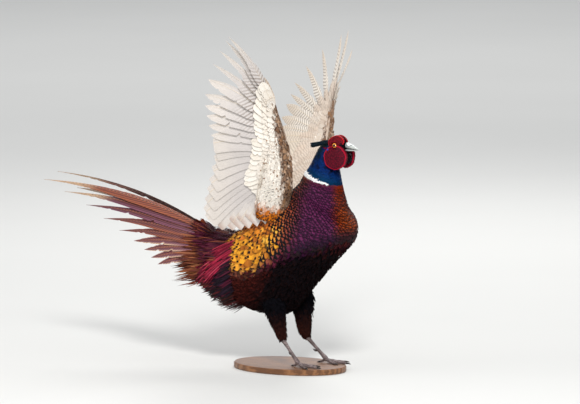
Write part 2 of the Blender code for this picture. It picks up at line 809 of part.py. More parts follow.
def make_tail(parts, look):
    tail = solid("tail", *loft(body_rings(TAIL_BULB, 7)), parts)
    vanes = []
    for sign in (-1, 1):
        root = Vector((TAIL_ROOT[0], TAIL_ROOT[1] * sign, TAIL_ROOT[2]))
        for pair, (length, pitch, yaw) in enumerate(TAIL_FEATHERS):
            roof = math.radians(ROOF_START + ROOF_STEP * pair)
            over = Vector((0, math.sin(roof) * sign, math.cos(roof)))
            down = Vector((0, math.cos(roof) * sign, -math.sin(roof)))
            share = (length / TAIL_FEATHERS[0][0]) ** 2
            pitch -= TAIL_TURN[sign][0] * share
            yaw += TAIL_TURN[sign][1] * share
            reach = tail_reach(length, math.radians(pitch), math.radians(yaw * sign))
            inner = min(TAIL_INNER[0] + TAIL_INNER[1] * pair, TAIL_INNER[2])
            outer = TAIL_OUTER[0] + TAIL_OUTER[1] * pair
            steps = 5 if pair < 3 else 4 if pair < 6 else 3
            bow = TAIL_BOWS[1] + (TAIL_BOWS[0] - TAIL_BOWS[1]) * share
            upward = {"sweep": bow * math.sin(roof), "camber": bow * math.cos(roof)}
            shape = {**upward, "pointed": TAIL_POINT, "steps": steps}
            vanes.append(vane(root, root + reach, (over, over), inner, outer, **shape, side=sign))
            root = root + down * TAIL_SPACING - over * TAIL_STEP
        for root_x, root_y, root_z, length, pitch, yaw, roll, width in TAIL_COVERTS:
            start = Vector((root_x, root_y * sign, root_z))
            reach = tail_reach(length, math.radians(pitch), math.radians(yaw * sign))
            roof = math.radians(roll)
            over = Vector((0, math.sin(roof) * sign, math.cos(roof)))
            widths = (width * 0.7, width)
            shape = {"camber": 0.04, "pointed": 0.6, "steps": 3}
            vanes.append(vane(start, start + reach, (over, over), *widths, **shape, side=sign))
    boolean(tail, vanes, "UNION", parts)
    finish(tail, look)


def make_legs(parts, looks, near_torso):
    for name, (sign, thigh_rows, ankle, ball) in LEGS.items():
        ankle = mirrored(ankle, sign)
        ball = mirrored(ball, sign)
        path = [mirrored(row[:3], sign) for row in thigh_rows]
        rings = tube(path, [row[3:] for row in thigh_rows], (1, 0, 0), 12)
        thigh = solid("thigh_" + name, *loft(rings), parts)
        boolean(thigh, [near_torso], "DIFFERENCE", parts)
        finish(thigh, looks["dark"])
        make_shank(parts, looks, name, path, ankle, ball)
        make_foot(parts, looks, name, sign, ankle, ball)


def make_shank(parts, looks, name, thigh_path, ankle, ball):
    top = thigh_path[-1]
    down = (top - thigh_path[-2]).normalized()
    path = [top + down * GAP, top + down * 1.8] + [ankle.lerp(ball, share) for share, wide, deep in SHANK]
    sizes = [(5.2, 4.8), (5.5, 5.0)] + [row[1:] for row in SHANK]
    shank = solid("shank_" + name, *loft(tube(path, sizes, (1, 0, 0), 10)), parts)
    spur_root = ankle.lerp(ball, SPUR_PLACE)
    inward = Vector((-0.8, -0.35 if ball.y > 0 else 0.35, -0.1)).normalized()
    spur_path = [spur_root + inward * length + Vector((0, 0, rise)) for length, rise, radius in SPUR]
    spur_sizes = [(radius, radius) for length, rise, radius in SPUR]
    boolean(shank, [loft(tube(spur_path, spur_sizes, ball - ankle))], "UNION", parts)
    finish(shank, looks["leg"])


def toe_tube(ball, ahead, length, rise):
    """Path and half widths of one toe, from the ball of the foot down to the ground, with its knuckles."""
    start = ball + Vector((2, 0, -5 + rise))
    path = []
    sizes = []
    for k in range(TOE_STATIONS):
        t = k / (TOE_STATIONS - 1)
        knuckle = 1 + KNUCKLE_SWELL * math.cos(2 * math.pi * t * length / KNUCKLE_SPACING)
        size = TOE_RADIUS * (1 - 0.3 * t) * knuckle
        spot = start + ahead * length * t
        spot.z = max(start.z * (1 - t) ** 2 + TOE_HEIGHT + rise * (1 - t), TOE_HEIGHT - 0.2)
        path.append(spot)
        sizes.append((size, size * 0.9))
    return path, sizes


def make_foot(parts, looks, name, sign, ankle, ball):
    down = (ball - ankle).normalized()
    stub = [ankle.lerp(ball, SHANK[-1][0]) + down * GAP, ball, ball + Vector((3, 0, -4))]
    sizes = [(4.2, 3.6), (5.2, 4.8), (5.0, 4.0)]
    foot = solid("foot_" + name, *loft(tube(stub, sizes, (1, 0, 0), 10, 0)), parts)
    toes = []
    for toe, yaw, length in TOES:
        turn = math.radians(yaw * -sign)
        ahead = Vector((math.cos(turn), math.sin(turn), 0))
        path, sizes = toe_tube(ball, ahead, length, 2.0 if toe == "hind" else 0.0)
        toes.append(loft(tube(path, sizes, (0, 0, 1), TOE_SIDES, 0)))
        onward = (path[-1] - path[-2]).normalized()
        start = path[-1] + onward * GAP
        claw_path = [start + onward * reach - Vector((0, 0, drop)) for reach, drop, wide, high in CLAW]
        claw_rings = tube(claw_path, [row[2:] for row in CLAW], (0, 0, 1), CLAW_SIDES, GAP)
        finish(solid(f"claw_{name}_{toe}", *loft(claw_rings), parts), looks["claw"])
    boolean(foot, toes, "UNION", parts)
    finish(foot, looks["leg"])


def main():
    clear_scene()
    parts = new_collection("common_pheasant")
    looks = {
        "copper": material("copper_feathers", (0.45, 0.16, 0.04)),
        "blue": material("neck_feathers", (0.01, 0.05, 0.16), 0.35),
        "wattle": material("bare_red_skin", (0.42, 0.0, 0.03), 0.5),
        "wing": material("wing_feathers", (0.68, 0.6, 0.52), 0.7),
        "tail": material("tail_feathers", (0.35, 0.2, 0.13), 0.6),
        "dark": material("thigh_feathers", (0.03, 0.012, 0.01)),
        "leg": material("leg_scales", (0.3, 0.26, 0.25), 0.5),
        "claw": material("claw_horn", (0.1, 0.08, 0.07), 0.35),
        "bill": material("bill_horn", (0.6, 0.62, 0.55), 0.35),
        "eye": material("eye", (0.3, 0.16, 0.03), 0.05),
        "base": material("base_paint", (0.72, 0.7, 0.66), 0.6),
    }
    make_base(parts, looks["base"])
    make_body(parts, looks)
    make_head(parts, looks)
    make_bill(parts, looks)
    make_wattles(parts, looks)
    make_ear_tufts(parts, looks)
    near_torso = loft(body_rings(TORSO_RIBS, TORSO_RINGS, GAP, GAP))
    make_wing(parts, looks["wing"], "right", -1, ARM_RIGHT, QUILLS_RIGHT, near_torso)
    make_wing(parts, looks["wing"], "left", 1, ARM_LEFT, QUILLS_LEFT, near_torso)
    make_tail(parts, looks["tail"])
    make_legs(parts, looks, near_torso)


main()
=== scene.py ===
"""The looks of the male common pheasant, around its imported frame.

Lengths are in millimetres above the ground under the feet until a mesh is made, as in the part's source.
A side's sign is -1 for the bird's right and 1 for its left. Places along a feather run from 0 to 1.
"""

import json
import math

import bmesh
import bpy
import numpy as np
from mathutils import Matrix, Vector, noise

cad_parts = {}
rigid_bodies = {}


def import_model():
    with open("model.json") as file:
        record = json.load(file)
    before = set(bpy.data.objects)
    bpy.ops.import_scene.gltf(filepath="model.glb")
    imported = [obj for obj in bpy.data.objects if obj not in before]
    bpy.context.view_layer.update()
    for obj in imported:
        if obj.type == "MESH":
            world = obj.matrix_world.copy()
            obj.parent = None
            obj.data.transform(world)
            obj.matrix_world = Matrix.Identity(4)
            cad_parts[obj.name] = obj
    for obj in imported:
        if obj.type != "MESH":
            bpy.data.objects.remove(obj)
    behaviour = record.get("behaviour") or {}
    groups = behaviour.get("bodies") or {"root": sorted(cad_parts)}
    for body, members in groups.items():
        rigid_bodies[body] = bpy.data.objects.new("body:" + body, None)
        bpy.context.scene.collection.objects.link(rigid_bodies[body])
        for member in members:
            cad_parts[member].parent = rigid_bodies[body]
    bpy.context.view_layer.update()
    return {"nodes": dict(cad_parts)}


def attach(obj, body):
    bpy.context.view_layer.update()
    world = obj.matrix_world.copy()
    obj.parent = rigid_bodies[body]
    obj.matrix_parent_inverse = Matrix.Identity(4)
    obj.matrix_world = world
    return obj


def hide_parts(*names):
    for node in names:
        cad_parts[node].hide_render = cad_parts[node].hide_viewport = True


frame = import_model()
draw = np.random.default_rng(11)

MM = 0.001
FULL_TURN = 2 * math.pi
SIDES = {-1: "right", 1: "left"}
# The base's height, on which the ground under the feet lies
GROUND = 12.3
# The most triangles of one piece of coat, and the side of each feather's patch on the bake map
MOST_TRIANGLES = 180000
BAKE_PATCH = 0.003

# Ribs of the body from the tail's root to the bill: top x and z, bottom x and z, half width
RIBS = [
    (-193, 267, -195, 240, 11), (-181, 262, -186, 212, 20), (-169, 254, -178, 186, 28),
    (-160, 247, -172, 165, 33), (-153, 252, -160, 143, 45), (-140, 257, -134, 126, 55),
    (-112, 274, -98, 111, 65), (-84, 293, -52, 101, 73), (-56, 314, 0, 107, 78), (-26, 336, 54, 166, 79),
    (-6, 349, 90, 204, 77), (9, 360, 124, 238, 72), (19, 368, 149, 263, 65), (26, 375, 152, 290, 57),
    (31, 382, 135, 318, 48), (35, 389, 127, 346, 41), (40, 398, 121, 371, 35), (47, 408, 118, 392, 30),
    (55, 420, 115, 410, 25.5), (62, 434, 114, 426, 22), (69, 447, 117, 436, 19), (79, 458, 121, 440, 18),
    (93, 467, 126, 442.5, 17.8), (107, 474, 130, 444, 17.4), (119, 477, 133, 445.5, 16),
    (128, 475, 135.5, 446.5, 13), (134, 470, 137, 447.5, 9.8),
]
RIB_STEPS = 40
# Rings of each thigh: centre x, y and z, half length and half width
THIGHS = {
    -1: [(-24, 38, 176, 15, 13), (-16, 42, 142, 26, 20), (-9, 41, 110, 19, 16), (-2, 40, 86, 13.5, 12.5),
         (3, 39.5, 69, 11.5, 10.5), (6.5, 39, 57, 6.0, 5.5)],
    1: [(-13, 38, 176, 15, 13), (-2, 42, 142, 28, 20), (6, 41, 108, 20, 16), (9, 40, 76, 15, 13),
        (13, 39.5, 60, 9.5, 8.5), (16.5, 39, 53, 6.0, 5.5)],
}
THIGH_COAT = 3.0


def linear(red, green, blue):
    """A colour given as 0 to 255 screen values, in linear light."""
    values = np.array([red, green, blue]) / 255
    return np.where(values <= 0.04045, values / 12.92, ((values + 0.055) / 1.055) ** 2.4)


def smooth(keys, count):
    """Rows between the key rows, on a Catmull-Rom curve through them."""
    keys = np.array(keys, float)
    padded = np.vstack([2 * keys[0] - keys[1], keys, 2 * keys[-1] - keys[-2]])
    rows = []
    for place in np.linspace(0, len(keys) - 1, count):
        k = min(int(place), len(keys) - 2)
        t = place - k
        a, b, c, d = padded[k : k + 4]
        curve = (2 * a - 5 * b + 4 * c - d) * t**2 + (3 * b - a - 3 * c + d) * t**3
        rows.append(0.5 * (2 * b + (c - a) * t + curve))
    return np.array(rows)


def between(rows, place):
    """The row at a place counted in rows, in even proportion between its neighbours."""
    rows = np.asarray(rows, float)
    k = min(int(place), len(rows) - 2)
    return rows[k] + (rows[k + 1] - rows[k]) * (place - k)


def unit(vectors):
    return vectors / np.maximum(np.linalg.norm(vectors, axis=-1, keepdims=True), 1e-9)


def step(low, high, value):
    """0 below low, 1 above high and a smooth rise between."""
    t = np.clip((value - low) / (high - low), 0, 1)
    return t * t * (3 - 2 * t)


def fade(low, high, value):
    """1 below low, 0 above high and a smooth fall between."""
    return 1 - step(low, high, value)


def blend(first, second, share):
    return first + (second - first) * np.asarray(share)[..., None]


def layered(ground, *layers):
    """The ground colour with others laid over it in turn, each a colour and its share."""
    for colour, share in layers:
        ground = blend(ground, colour, share)
    return ground


def each(values):
    """One value or vector for each feather, to go with its rows and columns."""
    return values[:, None, None]


def take(index, *arrays):
    return [array[index] for array in arrays]


def reach_along(points):
    """The distance of each point from the first, along the line through them."""
    return np.concatenate([[0], np.cumsum(np.linalg.norm(np.diff(points, axis=0), axis=-1))])


def ring(sides):
    return np.arange(sides) * FULL_TURN / sides


def mirrored(point, sign):
    return Vector((point[0], point[1] * sign, point[2]))


class Trunk:
    """The bare body's surface by its length from the tail's root and the angle round from the back."""

    def __init__(self):
        self.rows = smooth(RIBS, RIB_STEPS * (len(RIBS) - 1) + 1)
        self.place = reach_along((self.rows[:, :2] + self.rows[:, 2:4]) / 2)
        self.length = self.place[-1]

    def at_rib(self, rib):
        return self.place[int(rib * RIB_STEPS)]

    def step(self, low, high, along):
        """0 behind one rib, 1 before the other and a smooth rise between."""
        return step(self.at_rib(low), self.at_rib(high), along)

    def raw(self, along, turn):
        top_x, top_z, low_x, low_z, half = (np.interp(along, self.place, column) for column in self.rows.T)
        up = np.cos(turn)
        x = (top_x + low_x) / 2 + (top_x - low_x) / 2 * up
        z = (top_z + low_z) / 2 + (top_z - low_z) / 2 * up
        return np.stack([x, half * np.sin(turn) * (1 - 0.08 * up), z], -1)

    def at(self, along, turn):
        """Points, outward normals and both tangents. Beyond its ends the surface runs straight on."""
        along, turn = np.broadcast_arrays(np.asarray(along, float), np.asarray(turn, float))
        inside = np.clip(along, 1.5, self.length - 1.5)
        lengthwise = (self.raw(inside + 1, turn) - self.raw(inside - 1, turn)) / 2
        around = (self.raw(inside, turn + 0.02) - self.raw(inside, turn - 0.02)) / 0.04
        beyond = np.minimum(along, 0) + np.maximum(along - self.length, 0)
        points = self.raw(np.clip(along, 0, self.length), turn) + lengthwise * beyond[..., None]
        return points, unit(np.cross(lengthwise, around)), lengthwise, around

    def home(self, along, turn):
        """The place on the unwrapped skin."""
        turned = (turn + math.pi) % FULL_TURN / FULL_TURN
        return np.stack([0.02 + 0.96 * np.clip(along, 0, self.length) / self.length, 0.02 + 0.5 * turned], -1)


class Tube:
    """A limb's surface by its length from the top and the angle round it."""

    def __init__(self, path, sizes, across, stations=60):
        rows = smooth(np.hstack([np.array(path, float), np.array(sizes, float)]), stations)
        centre = rows[:, :3]
        ahead = unit(np.gradient(centre, axis=0))
        flat = np.broadcast_to(across, ahead.shape)
        flat = unit(flat - ahead * (ahead * flat).sum(-1, keepdims=True))
        self.table = np.hstack([centre, flat, np.cross(ahead, flat), ahead, rows[:, 3:]])
        self.place = reach_along(centre)
        self.length = self.place[-1]

    def grid(self, stations, sides):
        """Even places along it and round it."""
        return np.meshgrid(np.linspace(0, self.length, stations), ring(sides), indexing="ij")

    def at(self, along, turn, inset=0.0):
        read = np.stack([np.interp(along, self.place, column) for column in self.table.T], -1)
        centre, flat, over, ahead, size = np.split(read, [3, 6, 9, 12], -1)
        long_half, wide_half = np.split(size - inset, 2, -1)
        cos, sin = np.cos(turn)[..., None], np.sin(turn)[..., None]
        points = centre + flat * long_half * cos + over * wide_half * sin
        return points, unit(flat * wide_half * cos + over * long_half * sin), unit(ahead)


trunk = Trunk()
thighs = {
    sign: Tube([mirrored(row, sign) for row in rows], [row[3:] for row in rows], (1, 0, 0))
    for sign, rows in THIGHS.items()
}


def to_world(points):
    return points * MM + np.array([0, 0, GROUND * MM])


def colour_layer(mesh, title, values):
    layer = mesh.attributes.new(title, "FLOAT_COLOR", "POINT")
    full = np.ones((len(mesh.vertices), 4), np.float32)
    full[:, :3] = values
    layer.data.foreach_set("color", full.reshape(-1))


def quad_mesh(name, points, quads):
    """A smooth-shaded mesh from many points in millimetres and faces of four corners."""
    mesh = bpy.data.meshes.new(name)
    mesh.vertices.add(len(points))
    mesh.vertices.foreach_set("co", to_world(points).astype(np.float32).reshape(-1))
    mesh.loops.add(quads.size)
    mesh.loops.foreach_set("vertex_index", quads.astype(np.int32).reshape(-1))
    mesh.polygons.add(len(quads))
    mesh.polygons.foreach_set("loop_start", np.arange(0, quads.size, 4, dtype=np.int32))
    mesh.polygons.foreach_set("use_smooth", np.ones(len(quads), bool))
    mesh.update(calc_edges=True)
    return mesh


def solid_mesh(name, points, faces):
    """A smooth-shaded mesh from a closed surface, its faces turned outward."""
    mesh = bpy.data.meshes.new(name)
    mesh.from_pydata([tuple(point) for point in to_world(np.asarray(points))], [], faces)
    shape = bmesh.new()
    shape.from_mesh(mesh)
    bmesh.ops.recalc_face_normals(shape, faces=shape.faces)
    shape.to_mesh(mesh)
    shape.free()
    mesh.polygons.foreach_set("use_smooth", [True] * len(mesh.polygons))
    return mesh


def band_faces(rings, sides, closed=False):
    """Faces between rings of points, and from the last ring to the first where they close."""
    faces = []
    for k in range(rings if closed else rings - 1):
        here, there = k * sides, (k + 1) % rings * sides
        for j in range(sides):
            onward = (j + 1) % sides
            faces.append((here + j, here + onward, there + onward, there + j))
    return faces


def closed_rings(points):
    """Points and faces of a closed surface from rings, with a fan at each end."""
    points = np.asarray(points)
    rings, sides, _ = points.shape
    faces = band_faces(rings, sides)
    first, last, end = rings * sides, rings * sides + 1, (rings - 1) * sides
    for j in range(sides):
        onward = (j + 1) % sides
        faces.append((onward, j, first))
        faces.append((end + j, end + onward, last))
    return np.vstack([points.reshape(-1, 3), points[0].mean(0), points[-1].mean(0)]), faces


def linked(name, mesh, look):
    obj = bpy.data.objects.new(name, mesh)
    bpy.context.scene.collection.objects.link(obj)
    mesh.materials.append(look)
    return obj


def join_frame(obj, look, replaced):
    """Let a piece ride on the body and in the place of the nodes that it replaces."""
    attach(obj, "root")
    if replaced:
        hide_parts(*replaced)


def piece(name, shapes, look, replaced=()):
    """One mesh from closed surfaces that reach into one another."""
    points, faces = [], []
    for verts, sides in shapes:
        faces += [tuple(index + len(points) for index in face) for face in sides]
        points += [tuple(vert) for vert in verts]
    obj = linked(name, solid_mesh(name, points, faces), look)
    join_frame(obj, look, replaced)
    return obj


class Coat:
    """Feathers gathered into meshes, each with its colours, pattern and place on the unwrapped skin."""

    def __init__(self, name, look, replaced=()):
        self.name = name
        self.look = look
        self.replaced = replaced
        self.batches = []

    def add(self, points, across, along, ground, mark, trait, home):
        """points is (feathers, rows, columns, 3). across and along are each point's place on its feather."""
        shape = points.shape[:3]
        vane = np.stack([np.broadcast_to(across, shape), np.broadcast_to(along, shape)], -1)
        bake = each(home) + (vane - 0.5) * BAKE_PATCH
        colours = [values if values.ndim == 4 else each(values) for values in (ground, mark, trait)]
        colours = [np.broadcast_to(values, (*shape, 3)) for values in colours]
        self.batches.append([points, bake, vane, *colours])

    def build(self):
        """Make the meshes, each of no more than the most triangles."""
        made, size, pending = 0, 0, []
        for batch in self.batches:
            count, rows, columns, _ = batch[0].shape
            triangles = 2 * (rows - 1) * (columns - 1)
            start = 0
            while start < count:
                end = min(count, start + max(1, (MOST_TRIANGLES - size) // triangles))
                pending.append([values[start:end] for values in batch])
                size += triangles * (end - start)
                start = end
                if size > MOST_TRIANGLES - triangles:
                    self.mesh(made, pending)
                    made, size, pending = made + 1, 0, []
        if pending:
            self.mesh(made, pending)

    def mesh(self, number, batches):
        quads = []
        offset = 0
        for points, *_ in batches:
            count, rows, columns, _ = points.shape
            corner = (np.arange(rows - 1)[:, None] * columns + np.arange(columns - 1)).reshape(-1, 1)
            starts = offset + np.arange(count) * rows * columns
            quads.append((each(starts) + corner + np.array([0, 1, columns + 1, columns])).reshape(-1, 4))
            offset += count * rows * columns
        quads = np.concatenate(quads)
        points, bake, vane, *colours = (
            np.concatenate([values.reshape(-1, values.shape[-1]) for values in part])
            for part in zip(*batches)
        )
        name = f"{self.name}_{number + 1}" if number else self.name
        mesh = quad_mesh(name, points, quads)
        for title, values in (("OFBake", bake), ("Vane", vane)):
            layer = mesh.uv_layers.new(name=title)
            layer.uv.foreach_set("vector", values[quads.reshape(-1)].astype(np.float32).reshape(-1))
        for title, values in zip(("ground", "mark", "trait"), colours):
            colour_layer(mesh, title, values)
        join_frame(linked(name, mesh, self.look), self.look, () if number else self.replaced)


class Value:
    """A node's output, to be written in sums and products."""

    def __init__(self, look, socket):
        self.look = look
        self.socket = socket

    def __add__(self, other):
        return self.look.math("ADD", self, other)

    def __sub__(self, other):
        return self.look.math("SUBTRACT", self, other)

    def __rsub__(self, other):
        return self.look.math("SUBTRACT", other, self)

    def __mul__(self, other):
        return self.look.math("MULTIPLY", self, other)

    def __abs__(self):
        return self.look.math("ABSOLUTE", self)


class Look:
    """A material whose nodes are written as expressions."""

    def __init__(self, name):
        self.material = bpy.data.materials.new(name)
        self.material.use_nodes = True
        self.tree = self.material.node_tree
        self.shader = self.tree.nodes["Principled BSDF"]

    def link(self, value, socket):
        if isinstance(value, Value):
            self.tree.links.new(value.socket, socket)
        else:
            socket.default_value = (*value, 1) if socket.type == "RGBA" else value

    def node(self, kind, inputs=(), **settings):
        """The outputs of a new node, its inputs given by name or number."""
        node = self.tree.nodes.new("ShaderNode" + kind)
        for name, value in settings.items():
            setattr(node, name, value)
        for key, value in dict(inputs).items():
            self.link(value, node.inputs[key])
        return [Value(self, socket) for socket in node.outputs]

    def math(self, operation, first, second=0.0, clamp=False):
        return self.node("Math", {0: first, 1: second}, operation=operation, use_clamp=clamp)[0]

    def band(self, value, low, high):
        """0 at low and 1 at high, smooth between, also where low is the greater."""
        ends = {"Value": value, "From Min": low, "From Max": high}
        return self.node("MapRange", ends, interpolation_type="SMOOTHSTEP")[0]

    def mix(self, colour, *layers, mode="MIX"):
        """The colour with others laid over it in turn, each a colour and its share."""
        for other, share in layers:
            inputs = {0: share, 6: colour, 7: other}
            colour = self.node("Mix", inputs, data_type="RGBA", blend_type=mode)[2]
        return colour

    def tinted(self, colour, light):
        """The colour made lighter or darker by a factor."""
        tone = self.node("CombineXYZ", {0: light, 1: light, 2: light})[0]
        return self.mix(colour, (tone, 1.0), mode="MULTIPLY")

    def attribute(self, name):
        return self.node("Attribute", attribute_name=name)[0]

    def parts(self, vector):
        return self.node("SeparateXYZ", {0: vector})

    def vane(self):
        """How far a place lies from its feather's shaft and along it."""
        across, along, _ = self.parts(self.node("UVMap", uv_map="Vane")[0])
        return abs(across * 2 - 1), along

    def place(self):
        return self.node("TexCoord")[3]

    def noise(self, scale, detail=3.0, vector=None, rough=0.55):
        inputs = {"Vector": vector or self.place(), "Scale": scale, "Detail": detail, "Roughness": rough}
        return self.node("TexNoise", inputs)[0]

    def cells(self, scale, feature="F1"):
        return self.node("TexVoronoi", {"Vector": self.place(), "Scale": scale}, feature=feature)[0]

    def bump(self, height, distance, strength):
        inputs = {"Strength": strength, "Distance": distance, "Height": height}
        self.link(self.node("Bump", inputs)[0], self.shader.inputs["Normal"])

    def finish(self, colour, roughness, specular, **others):
        """The material with its surface values, the rest of them by the names of the shader's inputs."""
        values = {"base_color": colour, "roughness": roughness, "specular_IOR_level": specular, **others}
        sockets = {socket.name.lower().replace(" ", "_"): socket for socket in self.shader.inputs}
        for name, value in values.items():
            self.link(value, sockets[name.lower()])
        return self.material


# Feathers' colours
BREAST = linear(100, 35, 78)
BREAST_RIM = linear(26, 8, 30)
COLLAR_BROWN = linear(112, 44, 34)
LINED = linear(172, 80, 40)
LINED_DARK = linear(108, 45, 46)
COPPER = linear(150, 52, 20)
COPPER_LIGHT = linear(206, 92, 30)
ORANGE = linear(222, 114, 36)
GOLD = linear(250, 170, 44)
LIT_GOLD = linear(255, 204, 84)
SHADED_GOLD = linear(170, 88, 26)
FLANK_MARK = linear(12, 6, 12)
MAROON = linear(96, 24, 62)
DUSK = linear(36, 10, 34)
BELLY = linear(7, 6, 11)
BELLY_TIP = linear(70, 26, 26)
THIGH = linear(46, 20, 14)
VENT = linear(72, 24, 18)
VENT_TIP = linear(104, 30, 34)
RUMP = linear(198, 46, 76)
RUMP_LIGHT = linear(196, 70, 92)
RUMP_DEEP = linear(84, 12, 40)
RUMP_MARK = linear(72, 28, 44)
RUMP_TIP = linear(134, 66, 40)
RUST = linear(76, 30, 26)
RUST_TIP = linear(170, 104, 66)
BACK = linear(150, 82, 44)
NECK_BLUE = linear(0, 42, 106)
NECK_DARK = linear(2, 16, 50)
NECK_GREEN = linear(0, 66, 84)
CROWN = linear(8, 30, 28)
TUFT_BLUE = linear(4, 16, 40)
WHITE = linear(244, 244, 242)
VANE_PALE = linear(226, 212, 194)
VANE_UNDER = linear(202, 195, 191)
VANE_SHADE = linear(150, 138, 128)
VANE_BAR = linear(112, 94, 80)
VANE_WHITE = linear(246, 242, 234)
SHAFT = linear(214, 196, 168)
COVERT_CREAM = linear(230, 220, 207)
COVERT_BROWN = linear(118, 84, 60)
COVERT_FRECKLE = linear(150, 116, 90)
COVERT_SPOT = linear(52, 32, 26)
EDGE_BUFF = linear(184, 138, 96)
RUFOUS = linear(150, 92, 58)
SHOULDER_GOLD = linear(206, 112, 8)
TAIL_COPPER = linear(162, 88, 52)
TAIL_DARK = linear(46, 24, 26)
TAIL_PURPLE = linear(98, 50, 60)
TAIL_ROOT_TINT = linear(70, 24, 38)
TAIL_CREAM = linear(232, 196, 156)
TAIL_RIM = linear(132, 78, 98)
# Colours of the bare parts
SKIN_RED = linear(120, 2, 24)
SKIN_BLUE = linear(44, 60, 150)
PUPIL = (0.002, 0.002, 0.003)
IRIS = linear(255, 190, 70)
IRIS_STREAK = linear(206, 120, 30)
IRIS_EDGE = linear(24, 6, 6)
HORN = linear(182, 186, 181)
HORN_ROOT = linear(138, 143, 143)
HORN_RIDGE = linear(214, 218, 213)
# Painted shade along the gape, where the bill's halves meet
GAPE_SHADE = linear(84, 84, 88)
HORN_STREAK = linear(140, 144, 142)
NOSTRIL = linear(34, 30, 32)
# The nostril's flap, near white: partly its own pale horn, partly a painted highlight
NOSTRIL_FLAP_AND_HIGHLIGHT = linear(240, 244, 242)


def feather_look(name, roughness, specular, barbs=46.0, relief=0.0002, root=0.5, rim_from=0.8, metallic=0.0):
    """Feathers of ground and mark colours. trait holds tip spot, edge band and a random shade."""
    look = Look(name)
    side, along = look.vane()
    spot, edge, shade = look.parts(look.attribute("trait"))
    ragged = (look.noise(900, 2) - 0.5) * 0.24
    tip = look.band(along - side * 0.1 + ragged * 0.4, 0.72, 0.78)
    tip = tip * look.band(side - along * 0.5, 0.12, -0.08) * look.band(along, 0.99, 0.94)
    rim_side = look.band(side + ragged, 0.6, 0.85) * look.band(along, 0.4, 0.7)
    rim = look.math("MAXIMUM", rim_side, look.band(along + ragged * 0.4, rim_from, rim_from + 0.08))
    share = look.math("MAXIMUM", tip * spot, rim * edge, clamp=True)
    ribs = look.math("SINE", (along - side * 0.35) * (barbs * FULL_TURN))
    shaft = look.band(side, 0.1, 0.0)
    light = ribs * 0.08 + shade * 0.9 + shaft * 0.12 + 0.66
    # Painted shade: each feather darkens towards its root, as if shaded by the feathers over it; root is the
    # brightness left there
    light = light * (look.band(along, 0.35, 0.88) * (1 - root) + root)
    colour = look.tinted(look.mix(look.attribute("ground"), (look.attribute("mark"), share)), light)
    look.bump(ribs + shaft * 3, relief, 0.5)
    return look.finish(colour, roughness, specular, metallic=metallic)


# The number of a long feather's bars is kept as a share of this
BAR_COUNT = 40.0


def barred_look(name, roughness, shaft_share):
    """Long feathers with slanting bars. trait holds the bars' strength, their number and a random shade."""
    look = Look(name)
    side, along = look.vane()
    strength, count, shade = look.parts(look.attribute("trait"))
    wobble = (look.noise(160) - 0.5) * 0.9
    phase = count * BAR_COUNT * (along - side * 0.03)
    bars = look.band(look.math("SINE", (phase + shade) * FULL_TURN + wobble * 2.2), 0.0, 0.45)
    speckled = bars * (1 - look.band(look.noise(520), 0.52, 0.66) * 0.35)
    share = look.math("MULTIPLY", speckled, strength, clamp=True)
    ribs = look.math("SINE", (along - side * 0.09) * (FULL_TURN * 120))
    shaft = look.band(side, 0.07, 0.02)
    light = ribs * 0.035 + (shade - 0.5) * 0.3 + (look.noise(60) - 0.5) * 0.16 + 1.0
    colour = look.tinted(look.mix(look.attribute("ground"), (look.attribute("mark"), share)), light)
    look.bump(ribs + shaft * 2, 0.00012, 0.45)
    colour = look.mix(colour, (SHAFT, shaft * shaft_share))
    return look.finish(colour, roughness, 0.35, sheen_weight=0.2, sheen_roughness=0.4)


def skin_look():
    look = Look("skin")
    ground = look.attribute("ground")
    mottled = look.mix(ground, ((0.01, 0.006, 0.006), look.band(look.noise(300), 0.4, 0.65)))
    look.bump(look.noise(700), 0.0003, 0.5)
    return look.finish(look.mix(ground, (mottled, 0.35)), 0.8, 0.04)


def bare_skin_look(name, deep, light, rim, scale=620):
    """Warty crimson skin. trait holds the brighter rim, the depth between the warts and the blue spot."""
    look = Look(name)
    edge, bead, blue = look.parts(look.attribute("trait"))
    cells = look.cells(scale)
    fine = look.noise(1500, 2)
    warts = look.band(cells * 0.9 + fine * 0.25 + bead * 0.45, 0.25, 0.95)
    colour = look.mix(light, (deep, warts), (rim, edge * 0.8), (SKIN_BLUE, look.band(blue, 0.1, 0.5)))
    look.bump(fine * 0.25 - cells, 0.0008, 1.0)
    return look.finish(colour, 0.55, 0.14, subsurface_weight=0.05)


def eye_look():
    """A golden iris round a black pupil, by the distance from the eye's own axis."""
    look = Look("eye_glass")
    x, _, z = look.parts(look.place())
    across = x - EYE[0] * MM
    high = z - (EYE[2] + GROUND) * MM
    reach = look.math("SQRT", across * across + high * high)
    iris = look.mix(IRIS, (IRIS_STREAK, look.band(look.noise(900), 0.3, 0.7)))
    edge = look.band(reach, 0.0048, 0.0053)
    colour = look.mix(PUPIL, (iris, look.band(reach, 0.0026, 0.0030)), (IRIS_EDGE, edge))
    return look.finish(colour, 0.04, 0.6, coat_weight=0.6, coat_roughness=0.02)


def bill_look():
    """Grey horn, darker at its root, with painted shade along the gape where the halves meet. trait holds the
    place along it, the height and the nostril.
    """
    look = Look("bill_horn")
    front, rise, nostril = look.parts(look.attribute("trait"))
    streak = look.noise(260, 4)
    colour = look.mix(
        HORN_ROOT,
        (HORN, look.band(front, 0.0, 0.5)),
        (HORN_RIDGE, look.band(rise, 0.75, 1.0)),
        (GAPE_SHADE, look.band(rise, 0.3, 0.02) * 0.75),
        (HORN_STREAK, look.band(streak, 0.45, 0.7) * 0.3),
        (NOSTRIL_FLAP_AND_HIGHLIGHT, look.band(nostril, 0.1, 0.5)),
        (NOSTRIL, look.band(nostril, -0.3, -0.7)),
    )
    look.bump(streak, 0.0003, 0.35)
    return look.finish(colour, 0.38, 0.45, coat_weight=0.1, coat_roughness=0.25)


